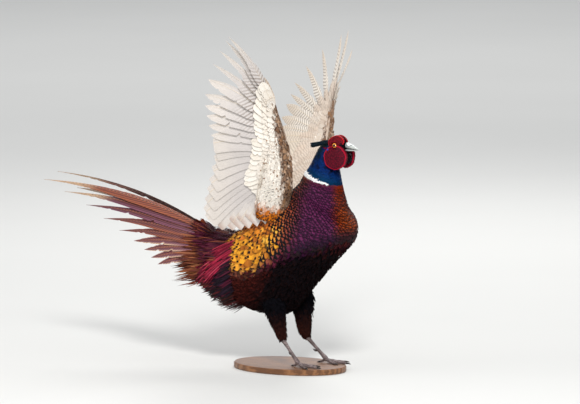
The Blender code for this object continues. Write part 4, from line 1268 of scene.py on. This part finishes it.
def flight_feathers(sign):
    """Root, tip, upper side at both and the arm's frame of each flight feather, from the tip inward."""
    keys = np.array(QUILL_KEYS[sign], float)
    table = smooth(keys[:, 1:], 12 * (len(keys) - 1) + 1)
    counted = np.arange(QUILLS, dtype=float)
    inner = counted[PRIMARIES:] - PRIMARIES + 1
    counted[PRIMARIES:] = PRIMARIES - 1 + inner * (CAD_QUILLS - PRIMARIES) / (QUILLS - PRIMARIES)
    rows = [between(table, place * 12) for place in np.interp(counted, keys[:, 0], range(len(keys)))]
    tips = [mirrored(row[1:], sign) for row in rows]
    frames = [arm_frame(sign, row[0]) for row in rows]
    roots = [edge + chord * depth * QUILL_DEPTH for edge, chord, over, depth, thick in frames]
    aheads = [(tip - root).normalized() for root, tip in zip(roots, tips)]
    overs = zip(fan_overs(roots, aheads, frames), fan_overs(tips, aheads, frames))
    return list(zip(roots, tips, overs, frames))


def shaft_frames(root, tip, overs, places, sweep, camber, side):
    """Points on a feather's bowed shaft, with the ways back across its blade and up from it."""
    root, tip = np.array(root), np.array(tip)
    ahead = unit(tip - root)
    over = blend(np.array(overs[0]), np.array(overs[1]), places)
    over = unit(over - ahead * (over @ ahead)[:, None])
    back = np.cross(ahead, over) * side
    bow = (4 * places * (1 - places) * np.linalg.norm(tip - root))[:, None]
    return blend(root, tip, places) - back * sweep * bow + over * camber * bow, back, over


def outline(places, pointed):
    """Half width of a long feather along its length, as a share of the full width."""
    fall = np.clip((places - 0.5) / 0.5, 0, 1)
    tip = (1 - fall ** (1.3 + 2.4 * (1 - pointed))) ** (0.55 + 0.4 * pointed)
    return np.where(places > 0.5, np.maximum(tip, 0.02), np.minimum(1, 0.16 + 2.6 * places))


def long_feather(coat, root, tip, overs, widths, tilt, sweep, camber, pointed, side, paint, home,
                 rows, half, thick, splits, notch=None, cup=0.1):
    """One flight, covert or tail feather with an upper and a lower face, its shaft raised on both.

    paint(places, across, upper) gives the ground and mark colours at each place and the pattern's trait.
    """
    places = 1 - (1 - np.linspace(0, 1, rows)) ** 1.35
    spots, back, over = shaft_frames(root, tip, overs, places, sweep, camber, side)
    back, over = back * math.cos(tilt) - over * math.sin(tilt), over * math.cos(tilt) + back * math.sin(tilt)
    share = outline(places, pointed)
    if notch:
        share = share * (1 - notch[1] * step(notch[0], notch[0] + 0.14, places))
    lead, trail = (np.maximum(width * share, 0.5) for width in widths)
    for _ in range(splits):
        at = draw.integers(rows // 3, rows - 2)
        depth = draw.uniform(0.12, 0.4)
        if draw.uniform() < 0.65:
            trail[at] *= 1 - depth
        else:
            lead[at] *= 1 - depth * 0.6
    outward = np.linspace(0, 1, half + 1)[1:]
    across = np.concatenate([-outward[::-1], [-0.05, 0, 0.05], outward])
    far = np.abs(across)
    width = np.where(across < 0, lead[:, None], trail[:, None])
    slant = 0.35 * far**1.2 * width * (step(0.03, 0.3, places) * fade(0.9, 1, places))[:, None]
    ahead = unit(np.gradient(spots, axis=0))
    sheet = spots[:, None] + back[:, None] * (across * width)[..., None] + ahead[:, None] * slant[..., None]
    ridge = 0.54 * (far < 0.01) * (1 - 0.75 * places)[:, None]
    for upper in (True, False):
        face = 1 if upper else -1
        height = face * (thick / 2 * (1 - 0.8 * far) + ridge) - cup * far**2 * width
        points = sheet + over[:, None] * height[..., None]
        ground, mark, trait = paint(places, across, upper)
        order = slice(None, None, -1 if side * face < 0 else 1)
        points, ground, mark = (values[None, :, order] for values in (points, ground, mark))
        beside = (across[order] + 1) / 2
        coat.add(points, beside, places[:, None], ground, mark, np.array([trait]), home[None])


def flat_paint(ground, mark, trait):
    """Paint of one ground and one mark colour."""
    def paint(places, across, upper):
        shape = (len(places), len(across), 3)
        return np.broadcast_to(ground, shape), np.broadcast_to(mark, shape), trait
    return paint


def flight_paint(number):
    """Colours of one flight feather: barred above, and nearly plain below but for the primaries' bases."""
    primary = number < PRIMARIES
    tone = draw.normal(0, 0.015)

    def paint(places, across, upper):
        t, s = np.meshgrid(places, across, indexing="ij")
        if upper:
            ground = blend(VANE_PALE, VANE_SHADE, 0.2 * step(0.2, 1, t) + 0.1 * step(0.2, 1, s))
            ground = blend(ground, VANE_WHITE, 0.5 * primary * fade(0.5, 0.9, t))
            strength, count = (0.6, 21) if primary else (0.32, 18)
            plain = 0.55 * step(0.55, 0.95, t)
        else:
            ground = blend(VANE_UNDER, VANE_SHADE, 0.1 * step(0.4, 1.0, s))
            ground = blend(ground, COVERT_CREAM, 0.4 * step(0.5, 0.95, t))
            if number > QUILLS - 7:
                ground = blend(ground, RUFOUS, 0.45 * step(0.86, 1.0, t))
            strength, count = 0.6 * fade(4.5, 9.5, number), 20
            plain = np.maximum(step(0.32, 0.62, t), fade(0.02, 0.1, t))
        ground = np.clip(ground * (1 + tone), 0, 1)
        return ground, blend(VANE_BAR, ground, plain), (strength, count / BAR_COUNT, 0.5 + tone)
    return paint


def wing_home(sign, share, depth):
    """A wing's place on the unwrapped skin."""
    return np.array([0.02 + 0.44 * share + (0.5 if sign > 0 else 0), 0.74 + 0.2 * depth])


def quills(coat, sign, feathers):
    """The flight feathers of one wing."""
    for number, (root, tip, overs, _) in enumerate(feathers):
        if number < NARROW_PRIMARIES[sign]:
            widths, pointed, notch, splits = (6.5, 12.5 + number), 0.85, (0.46, 0.3), 3
        elif number < PRIMARIES:
            widths, pointed, notch, splits = (8.5, 19.0), 0.6, None, 3
        else:
            widths, pointed, notch, splits = (11.0, 25.0), -1.2, None, 0
        inner = step(PRIMARIES - 3, PRIMARIES + 1, number)
        tilt = QUILL_TILT * (0.8 - 0.68 * inner)
        long_feather(coat, root, tip, overs, widths, tilt, QUILL_SWEEP, QUILL_CAMBER, pointed, -sign,
                     flight_paint(number), wing_home(sign, number / QUILLS, 0.1), 40, 5,
                     0.55 - 0.15 * inner, splits, notch, 0.1 - 0.07 * inner)


def coverts(coat, sign, feathers):
    """The rows of coverts over and under one wing's flight feathers."""
    for layer, (root_depth, root_rise, share, rise, widths, upper) in enumerate(COVERT_ROWS):
        for number, (root, tip, overs, (edge, chord, over, depth, thick)) in enumerate(feathers):
            scale = share * (1.15 if number >= PRIMARIES else 0.9) * draw.normal(1, 0.03)
            spots, _, up = shaft_frames(root, tip, overs, np.array([scale]), QUILL_SWEEP, QUILL_CAMBER, -sign)
            start = edge + chord * depth * root_depth + over * thick * root_rise
            end = Vector(spots[0]) + Vector(up[0]) * rise
            if upper:
                ground = blend(COVERT_CREAM, EDGE_BUFF, 0.08 + 0.22 * draw.uniform())
                strength, count = 0.3, 9
            else:
                ground = blend(COVERT_CREAM, VANE_WHITE, 0.5 * draw.uniform())
                strength, count = 0.22 * draw.uniform() * (layer - 3), 5
            paint = flat_paint(ground, COVERT_BROWN, (strength, count / BAR_COUNT, 0.5 + draw.normal(0, 0.1)))
            home = wing_home(sign, number / QUILLS, 0.25 + 0.1 * layer)
            long_feather(coat, start, end, (overs[0], Vector(up[0])), widths, math.radians(5),
                         QUILL_SWEEP * scale, QUILL_CAMBER * scale + 0.01, 0.25, -sign, paint, home,
                         16, 3, 0.4, 1)


def wing_coat(look):
    """Flight feathers of both wings and their coverts."""
    coat = Coat("wing_feathers", look)
    for sign in (-1, 1):
        feathers = flight_feathers(sign)
        quills(coat, sign, feathers)
        coverts(coat, sign, feathers)
    return coat


def arm_places(sign, feathers):
    """Where an arm's small feathers grow: place along it, turn round it, nearest flight feather and size."""
    edges = [arm_frame(sign, k / 4)[0] for k in range(4 * ARM_END + 1)]
    quill_places = np.array([
        min(range(len(edges)), key=lambda k: (edges[k] - quill_frame[0]).length) / 4
        for _, _, _, quill_frame in feathers
    ])
    rows = []
    for place in np.linspace(0.15, 7.9, 74):
        near = int(np.argmin(np.abs(quill_places - place)))
        *_, depth, thick = arm_frame(sign, place)
        around = int(max(6, (depth + thick) * 2 / 5.4))
        for k in range(around):
            turn = FULL_TURN * (k + draw.uniform(0, 1)) / around - math.pi
            rows.append((place + draw.normal(0, 0.03), turn, near, 1.0))
        for turn in draw.uniform(-0.8, 0.62, 16):
            rows.append((place + draw.uniform(-0.05, 0.05), turn, near, 0.5))
    return rows


def arm_coat(look):
    """The small feathers that cover the arms, above, below and along the leading edge."""
    coat = Coat("arm_feathers", look, ("wing_right", "wing_left"))
    for sign in (-1, 1):
        feathers = flight_feathers(sign)
        aims = [(tip - root).normalized() for root, tip, _, _ in feathers]
        rows = []
        for place, turn, near, size in arm_places(sign, feathers):
            place = min(max(place, 0), ARM_END - 0.01)
            point, normal = arm_point(sign, place, turn, 1.2)
            edge, chord, _, depth, _ = arm_frame(sign, place)
            aim = (aims[near] * 0.75 + chord * 0.5).normalized()
            ahead = aim - normal * aim.dot(normal)
            if ahead.length < 0.25:
                ahead = (arm_frame(sign, min(place + 0.5, ARM_END))[0] - edge) * 0.6 + chord
                ahead -= normal * ahead.dot(normal)
            home = wing_home(sign, place / ARM_END, (turn + math.pi) / FULL_TURN)
            scale = (0.65 + 0.35 * depth / ARM_DEPTH) * size
            rows.append((*point, *normal, *ahead.normalized(), *home, place, turn, scale))
        roots, normals, aheads, homes, others = np.split(np.array(rows), [3, 6, 9, 11], -1)
        place, turn, sizes = others.T
        count = len(rows)
        leading = np.clip((np.cos(turn + 0.12) - 0.74) / 0.2, 0, 1)
        upper = ((turn > 0.4) & (turn < 2.7)) * (1 - leading)
        buff = blend(EDGE_BUFF, COVERT_CREAM, draw.uniform(0, 0.7, count))
        buff = blend(buff, COVERT_BROWN, draw.uniform(0, 1, count) ** 0.7)
        ground = blend(COVERT_CREAM, VANE_WHITE, 0.6 * draw.uniform(0, 1, count))
        shoulder = fade(0.4, 1.1, place + draw.normal(0, 0.12, count))
        ground = layered(ground, (EDGE_BUFF, 0.3 * upper), (buff, leading), (SHOULDER_GOLD, shoulder))
        spotted = draw.uniform(0, 1, count) < 0.1 + 0.3 * fade(1, 4, place) + 0.3 * leading
        mark = blend(COVERT_FRECKLE, COVERT_SPOT, np.maximum(shoulder, leading))
        spot = np.clip(spotted + shoulder, 0, 1)
        trait = traits(spot, 0.25 * upper + 0.1 + 0.3 * leading, shades(count, 0.08))
        vary = draw.normal(1, 0.1, count)
        lift = 0.9 + draw.normal(0, 0.2, count)
        straight_feathers(coat, roots, aheads, normals, 19 * sizes * vary, 5.6 * sizes * vary, lift,
                          ground, mark, trait, homes, 7, 5, curl=-0.02, dome=0.06, fray=0.05)
        thumb_feathers(coat, sign)
    return coat


def thumb_feathers(coat, sign):
    """The few stiff feathers of the thumb."""
    paint = flat_paint(blend(COVERT_CREAM, EDGE_BUFF, 0.35), COVERT_BROWN, (0.6, 9 / BAR_COUNT, 0.4))
    for layer, (place, reach) in enumerate(THUMB):
        edge, chord, over, _, thick = arm_frame(sign, place)
        ahead = (mirrored(ARMS[sign][-1], sign) - edge).normalized()
        start = edge + chord * 5 + over * (thick * 0.3 + 1.1 * layer)
        end = start + ahead * reach + over * 2.5
        long_feather(coat, start, end, (over, over), (3.5, 7.0), 0.0, 0.0, 0.03, 0.4, -sign, paint,
                     wing_home(sign, 0.9, 0.05 * layer), 14, 3, 0.4, 1)


def arm_skin(sign, look):
    """The arm under its feathers."""
    places = np.linspace(0, ARM_END, 40)
    rings = [[arm_point(sign, place, turn, 1.4)[0] for turn in ring(24)] for place in places]
    obj = piece("arm_skin_" + SIDES[sign], [closed_rings(rings)], look)
    # Painted shade: the coverts' cream darkened where the arm shows between its feathers
    colour_layer(obj.data, "ground", COVERT_CREAM * 0.5)


# The tail's root, and the step down and in from each pair of feathers to the next
TAIL_ROOT = (-172.0, 4.4, 252.0)
TAIL_SPACING = 4.0
TAIL_STEP = 1.5
# Slope of the topmost pair as a roof, and its growth from pair to pair, in degrees
ROOF_START = 38.0
ROOF_STEP = 2.2
# Pairs from the top: length, and pitch and yaw in degrees
TAIL_FEATHERS = [
    (425, 15.5, 1.2), (368, 14.0, 3.0), (308, 12.0, 5.4), (258, 9.0, 8.2), (215, 5.5, 11.4), (178, 1.5, 14.8),
    (152, -3.0, 18.4), (136, -8.0, 22.0), (122, -13.0, 25.5),
]
# The feathers under the ridge between the two halves, by the same measures
TAIL_FILLERS = [(352, 13.2, -3.0), (338, 13.6, -1.9), (330, 13.9, -0.8), (300, 14.0, 0.2)]
# Upward bow of the longest tail feather and of the shortest
TAIL_BOWS = (0.056, 0.032)
# How far the longest feather of each side is turned down and outward from its pair's line, in degrees
TAIL_TURN = {-1: (2.6, 3.2), 1: (0.9, -0.2)}


def tail_reach(length, pitch, yaw):
    """From the root to the tip of a feather that points back, pitch up and yaw to the side, in degrees."""
    pitch, yaw = math.radians(pitch), math.radians(yaw)
    flat = math.cos(pitch)
    return length * Vector((-flat * math.cos(yaw), flat * math.sin(yaw), math.sin(pitch)))


def tail_paint(pair):
    """Copper along the tail's upper edge, purple-brown within, and pale edges on the lowest feathers."""
    def paint(places, across, upper):
        t, s = np.meshgrid(places, np.abs(across), indexing="ij")
        edge = step(0.3, 0.95, s)
        ground = layered(
            TAIL_PURPLE,
            (TAIL_COPPER, 0.55 * fade(0.05, 0.4, s)),
            (TAIL_COPPER if pair in (0, 3, 4) else TAIL_RIM, 0.75 * edge),
            (TAIL_COPPER, 0.5 * (pair == 0)),
            (TAIL_CREAM, 0.8 * (pair >= 5) * step(0.72, 0.9, s) * step(0.3, 0.6, t)),
            (TAIL_ROOT_TINT, 0.85 * fade(0.03, 0.12 + 0.035 * pair, t)),
            (TAIL_CREAM, 0.75 * (pair < 2) * step(0.66, 0.82, t)),
        )
        mark = blend(TAIL_DARK, ground, 0.35 * edge * fade(0.6, 0.8, t) + 0.4 * (pair >= 5))
        return ground, mark, (0.8, (50 - 3.8 * pair) / BAR_COUNT, 0.5 + draw.normal(0, 0.05))
    return paint


def tail_coat(look):
    """The long barred feathers of the tail, roofed over one another in pairs."""
    coat = Coat("tail_feathers", look, ("tail",))
    for sign in (-1, 1):
        root = mirrored(TAIL_ROOT, sign)
        for pair, (length, pitch, yaw) in enumerate(TAIL_FEATHERS):
            roof = math.radians(ROOF_START + ROOF_STEP * pair)
            over = Vector((0, math.sin(roof) * sign, math.cos(roof)))
            down = Vector((0, math.cos(roof) * sign, -math.sin(roof)))
            share = (length / TAIL_FEATHERS[0][0]) ** 2
            lowered, opened = TAIL_TURN[sign]
            reach = tail_reach(length, pitch - lowered * share, (yaw + opened * share) * sign)
            bow = TAIL_BOWS[1] + (TAIL_BOWS[0] - TAIL_BOWS[1]) * share
            widths = (min(7.0 + 1.8 * pair, 12.0), 14.5 - 0.4 * pair)
            home = np.array([0.03 + 0.05 * pair + (0.5 if sign > 0 else 0), 0.96])
            long_feather(coat, root, root + reach, (over, over), widths, 0.0, bow * math.sin(roof),
                         bow * math.cos(roof), 1.15 if pair < 5 else 0.8, sign, tail_paint(pair), home,
                         60 if pair < 4 else 36, 5, 0.6, 5)
            root = root + down * TAIL_SPACING - over * TAIL_STEP
    middle = Vector((TAIL_ROOT[0], 0, TAIL_ROOT[2]))
    over = Vector((0, -0.15, 1)).normalized()
    for number, (length, pitch, yaw) in enumerate(TAIL_FILLERS):
        root = middle + Vector((0, 0, 1 - number))
        tip = middle + tail_reach(length, pitch, yaw)
        home = np.array([0.35 + 0.05 * number, 0.96])
        long_feather(coat, root, tip, (over, over), (13.0, 13.0), 0.0, 0.0, TAIL_BOWS[0] * 0.8, 0.75, 1,
                     tail_paint(1), home, 48, 5, 0.6, 3)
    return coat


def bare_patch(name, sign, centre, size, lie, look, replaced=(), lobes=7):
    """A round, puffed and folded patch of bare skin on one cheek, sunk in round the eye."""
    rings, sides = 64, 130
    grid = []
    tint = []
    for k in range(1, rings):
        polar = math.pi * k / rings
        reach = math.sin(polar)
        rim = max(0.0, 1 - abs(reach - 0.955) / 0.05)
        side = math.copysign(abs(math.cos(polar)) ** 0.55, -math.cos(polar))
        for turn in ring(sides):
            folds = 1 + 0.018 * math.sin(lobes * turn) * reach + 0.012 * math.sin(23 * turn + 1) * reach
            wide = reach * folds
            puff = Vector((wide * math.cos(turn), side, wide * math.sin(turn))) * Vector(size)
            bead = noise.voronoi(puff * 0.85)[0][0]
            swell = 0.6 * rim + (0.45 - min(bead, 0.9)) * 0.9 + noise.noise(puff * 0.17) * 1.2
            x, z = centre[0] + puff.x, centre[2] + puff.z
            y = lie(x, z) + puff.y + math.copysign(swell, puff.y)
            grid.append((x, min(y, float(socket(x, z, SOCKET_FLOOR))) * sign, z))
            blue = max(0.0, 1 - math.hypot(x - BLUE_SPOT[0], z - BLUE_SPOT[1]) / 3.2)
            tint.append((rim, min(bead, 1.0), blue))
    obj = piece(name, [closed_rings(np.reshape(grid, (rings - 1, sides, 3)))], look, replaced)
    colour_layer(obj.data, "trait", np.array(tint + [(0, 0.5, 0)] * 2))


def eyelid(sign, look):
    """The puckered ring of skin round the eye."""
    sides, round_sides, radius = 64, 12, 5.15
    turn, angle = np.meshgrid(ring(sides), ring(round_sides), indexing="ij")
    thick = 0.62 * (1 + 0.05 * np.sin(turn * 21) + 0.05 * np.sin(turn * 13 + 2))
    reach = radius + thick * np.cos(angle)
    out = (16.1 + thick * 1.35 * np.sin(angle)) * sign
    points = np.stack([EYE[0] + reach * np.cos(turn), out, EYE[2] + reach * np.sin(turn)], -1)
    obj = piece("lid_" + SIDES[sign], [(points.reshape(-1, 3), band_faces(sides, round_sides, True))], look)
    colour_layer(obj.data, "trait", (0.3, 0.5, 0))


def eye_ball(sign, look):
    """The eye's ball, which shows within the ring."""
    polar, turn = np.meshgrid(math.pi * np.arange(1, 36) / 36, ring(48), indexing="ij")
    flat = np.sin(polar)
    ball = np.stack([flat * np.cos(turn), -np.cos(polar), flat * np.sin(turn)], -1)
    points = (EYE + EYE_RADIUS * ball) * (1, sign, 1)
    piece("eye_ball_" + SIDES[sign], [closed_rings(points)], look, ("eye_" + SIDES[sign],))


# The bill's halves: share of its length, lower and upper height from its root, half width
BILL_UPPER = [
    (0.01, -7.0, 5.4, 7.8), (0.16, -7.2, 4.8, 7.4), (0.40, -7.6, 2.2, 6.0), (0.65, -8.0, -1.2, 4.4),
    (0.88, -8.6, -4.9, 2.5), (1.00, -9.4, -8.0, 0.9),
]
BILL_LOWER = [
    (0.01, -12.2, -7.4, 7.6), (0.20, -12.0, -7.6, 6.8), (0.45, -11.6, -8.0, 5.2), (0.70, -11.0, -8.5, 3.4),
    (0.86, -10.4, -9.0, 1.6),
]
# The nostril's flap: its centre from the bill's root and its half sizes
NOSTRIL_AT = (7.4, 1.6)
NOSTRIL_SIZE = (3.8, 2.0)


def bill_piece(name, rows, look, upper):
    """One half of the bill, the upper one with its nostrils under their flaps."""
    rows = smooth([(BILL[0] + share * BILL_LENGTH, BILL[1] + low, BILL[1] + high, half)
                   for share, low, high, half in rows], 48)
    x, low, high, half = rows.T[:, :, None]
    angle = ring(44)
    y = half * np.sin(angle)
    z = (low + high) / 2 + (high - low) / 2 * np.cos(angle)
    nostril = np.zeros_like(z)
    if upper:
        ahead, above = x - BILL[0] - NOSTRIL_AT[0], z - BILL[1] - NOSTRIL_AT[1]
        away = np.hypot(ahead / NOSTRIL_SIZE[0], above / NOSTRIL_SIZE[1])
        flap = np.maximum(0, 1 - away**2)
        slit = np.maximum(0, 1 - np.abs(away - 1.3) * 3) * (z < BILL[1] + 1.2)
        y = y - np.copysign(0.7 * slit - 1.3 * flap, y)
        nostril = flap - slit
    rise = (1 + np.cos(angle)) / 2 if upper else (1 - np.cos(angle)) / 2
    points = np.stack(np.broadcast_arrays(x, y, z), -1)
    obj = piece("bill_horn_" + name, [closed_rings(points)], look, ("bill_" + name,))
    tint = np.stack(np.broadcast_arrays((x - BILL[0]) / BILL_LENGTH, rise, nostril), -1).reshape(-1, 3)
    colour_layer(obj.data, "trait", np.vstack([tint, tint[0], tint[-1]]))


# Legs: ankle and ball of each foot, and toes as name, yaw and length
FEET = {-1: ((7.5, 38.5, 53), (43, 40, 10)), 1: ((18, 38.5, 50), (61, 40, 10))}
TOES = [("inner", 27, 36), ("middle", -3, 47), ("outer", -34, 38), ("hind", 168, 12)]
TOE_RADIUS = 3.4
CLAW_LENGTH = 10.0
# Places along the shank from the ankle, and half sizes there and at the two places above it
SHANK_PLACES = (0, 0.14, 0.32, 0.6, 0.86, 0.98)
SHANK_SIZES = [(5.4, 4.9), (5.5, 5.0), (5.2, 4.8), (4.4, 3.9), (3.6, 3.1), (3.5, 3.0), (4.2, 3.7), (5.0, 4.4)]


def limb(path, sizes, across, stations, sides, floor=-np.inf, scutes=0.0, pitch=1.0):
    """A closed tube along a smooth curve, with plates stepped along it and kept above the floor."""
    tube = Tube(path, sizes, across, stations)
    along, turn = tube.grid(stations, sides)
    points, normals, _ = tube.at(along, turn)
    saw = (along / pitch + 0.25 * np.cos(turn)) % 1.0
    points = points + normals * (scutes * (saw - 0.5))[..., None]
    points[..., 2] = np.maximum(points[..., 2], floor)
    return closed_rings(points)


def toe_path(start, ahead, length, rise):
    """A toe's knuckled path down to the ground, with its half sizes."""
    path, sizes = [], []
    for t in np.linspace(0, 1, 15):
        size = TOE_RADIUS * (1 - 0.3 * t) * (1 + 0.12 * math.cos(FULL_TURN * t * (length / 14)))
        spot = start + ahead * length * t
        spot.z = max(start.z * (1 - t) ** 2 + 2.6 + rise * (1 - t), 2.4)
        path.append(spot)
        sizes.append((size, size * 0.9))
    return path, sizes


def leg_pieces(sign, leg_look, claw_look):
    """Shank, spur, foot and claws of one side."""
    side = SIDES[sign]
    ankle, ball = (mirrored(point, sign) for point in FEET[sign])
    above, top = (mirrored(row, sign) for row in THIGHS[sign][-2:])
    down = (top - above).normalized()
    shin = ball - ankle
    path = [top - down * 3, top + down * 1.8, *(ankle + shin * t for t in SHANK_PLACES)]
    shank = limb(path, SHANK_SIZES, (1, 0, 0), 90, 32, scutes=0.35, pitch=3.4)
    piece("shank_scales_" + side, [shank], leg_look, ("shank_" + side,))

    spur = ankle + shin * 0.62
    inward = Vector((-0.8, -0.35 * sign, -0.1)).normalized()
    bends = ((0, 0), (6, 0), (9, 1.5), (12, 4.0))
    path = [spur + inward * reach + Vector((0, 0, lift)) for reach, lift in bends]
    sizes = [(2.6, 2.6), (2.2, 2.2), (1.5, 1.5), (0.4, 0.4)]
    piece("spur_" + side, [limb(path, sizes, tuple(shin.normalized()), 24, 20)], claw_look)

    path = [ankle + shin * 0.84, ball, ball + Vector((3, 0, -4))]
    foot = [limb(path, [(4.2, 3.6), (5.2, 4.8), (4.6, 3.4)], (1, 0, 0), 20, 28, 0)]
    for toe, yaw, length in TOES:
        turn = math.radians(yaw * -sign)
        rise = 2.0 if toe == "hind" else 0.0
        ahead = Vector((math.cos(turn), math.sin(turn), 0))
        path, sizes = toe_path(ball + Vector((2, 0, -5 + rise)), ahead, length, rise)
        foot.append(limb(path, sizes, (0, 0, 1), 60, 24, 0, 0.28, 2.4))
        onward = (path[-1] - path[-2]).normalized()
        end = path[-1] - onward * 0.6
        drops = ((0, 0), (4.6, 0), (8.6, 0.8), (CLAW_LENGTH + 0.8, 1.7))
        path = [end + onward * reach - Vector((0, 0, drop)) for reach, drop in drops]
        claw = limb(path, [(2.0, 1.8), (1.6, 1.4), (1.0, 0.8), (0.25, 0.2)], (0, 0, 1), 30, 20, 0.3)
        piece(f"claw_horn_{side}_{toe}", [claw], claw_look, (f"claw_{side}_{toe}",))
    piece("foot_scales_" + side, foot, leg_look, ("foot_" + side,))


def floor_and_light():
    """A plain pale floor and soft studio light."""
    size = 40.0
    look = Look("floor")
    colour = look.mix(linear(218, 217, 213), (linear(223, 222, 218), look.noise(1.4, 2)))
    floor = bpy.data.meshes.new("floor")
    corners = [(-size, -size, 0), (size, -size, 0), (size, size, 0), (-size, size, 0)]
    floor.from_pydata(corners, [], [(0, 1, 2, 3)])
    obj = linked("floor", floor, look.finish(colour, 0.85, 0.2))
    world = bpy.data.worlds.new("studio")
    world.use_nodes = True
    background = world.node_tree.nodes["Background"]
    background.inputs["Color"].default_value = (0.92, 0.95, 1.0, 1)
    background.inputs["Strength"].default_value = 0.55
    bpy.context.scene.world = world
    bpy.context.scene.view_settings.view_transform = "Standard"
    add_area("key", (1.7, -2.5, 2.6), 0.9, 120)
    add_area("fill", (-2.4, -1.9, 1.6), 1.8, 16)
    add_area("back", (-0.9, 2.4, 2.4), 1.5, 40)
    add_area("backdrop", (-3.2, 5.2, 3.6), 5.0, 70, (-3.2, 5.3, 0))


def aimed(name, data, place, target):
    """A light or camera that looks at a target."""
    obj = bpy.data.objects.new(name, data)
    bpy.context.scene.collection.objects.link(obj)
    obj.location = place
    obj.rotation_euler = (Vector(target) - Vector(place)).to_track_quat("-Z", "Y").to_euler()
    return obj


def add_area(name, place, size, power, target=(0, 0, 0.32)):
    light = bpy.data.lights.new(name, "AREA")
    light.shape = "DISK"
    light.size = size
    light.energy = power
    aimed(name, light, place, target)


def make_camera():
    """The photo's view: azimuth before the right side, elevation, and the width that the picture shows."""
    azimuth, elevation, away, shown = math.radians(32), math.radians(7), 12.0, 1.189
    target = Vector((0, 0, 0.3457))
    flat = math.cos(elevation)
    offset = Vector((math.sin(azimuth) * flat, -math.cos(azimuth) * flat, math.sin(elevation)))
    data = bpy.data.cameras.new("camera")
    data.sensor_width = 36
    data.lens = 36 * away / shown
    data.clip_end = 60
    bpy.context.scene.camera = aimed("camera", data, target + away * offset, target)


def main():
    # Each look's root sets how bright the painted shade leaves its feathers' roots
    body = feather_look("body_plumage", 0.5, 0.14, rim_from=0.7)
    neck = feather_look("neck_plumage", 0.46, 0.12, barbs=30.0, relief=0.00012, root=0.7, metallic=0.1)
    collar = feather_look("collar_plumage", 0.6, 0.3, barbs=30.0, relief=0.0001, root=0.92)
    thigh = feather_look("thigh_plumage", 0.8, 0.06, barbs=60.0, relief=0.0003)
    rump = feather_look("rump_plumage", 0.5, 0.14, barbs=60.0, relief=0.0003, root=0.65)
    arm = feather_look("covert_plumage", 0.7, 0.2, root=0.88)
    flight = barred_look("flight_plumage", 0.55, 0.6)
    tail = barred_look("tail_plumage", 0.5, 0.12)
    skin = skin_look()
    wattle = bare_skin_look("bare_cheek_skin", linear(56, 0, 18), linear(148, 2, 40), linear(206, 10, 48))
    comb = bare_skin_look("bare_brow_skin", linear(74, 0, 14), linear(176, 6, 30), linear(232, 26, 34))
    lid = bare_skin_look("eyelid_skin", linear(90, 4, 16), linear(150, 20, 30), linear(170, 40, 40), 900)
    eye = eye_look()
    bill = bill_look()
    leg = scale_look("leg_scales", linear(150, 132, 130), linear(92, 78, 76), 330)
    claw = scale_look("claw_horn", linear(70, 58, 52), linear(28, 22, 20), 120)

    skin_piece(skin)
    coats = [body_coat(body), belly_coat(thigh), *neck_coats(neck, collar), thigh_coat(thigh)]
    coats += [wing_coat(flight), tail_coat(tail), rump_coat(rump), ear_coat(neck), arm_coat(arm)]
    for coat in coats:
        coat.build()
    for sign in SIDES:
        arm_skin(sign, skin)
    for sign, side in SIDES.items():
        bare_patch("wattle_skin_" + side, sign, WATTLE, WATTLE_SIZE, cheek_height, wattle,
                   ("wattle_" + side,))
        bare_patch("comb_skin_" + side, sign, COMB, COMB_SIZE, brow_height, comb, lobes=5)
        eye_ball(sign, eye)
        eyelid(sign, lid)
    bill_piece("upper", BILL_UPPER, bill, True)
    bill_piece("lower", BILL_LOWER, bill, False)
    for sign in SIDES:
        leg_pieces(sign, leg, claw)
    base = frame["nodes"]["stand_base"]
    base.data.materials.clear()
    base.data.materials.append(wood_look())
    floor_and_light()
    make_camera()


main()
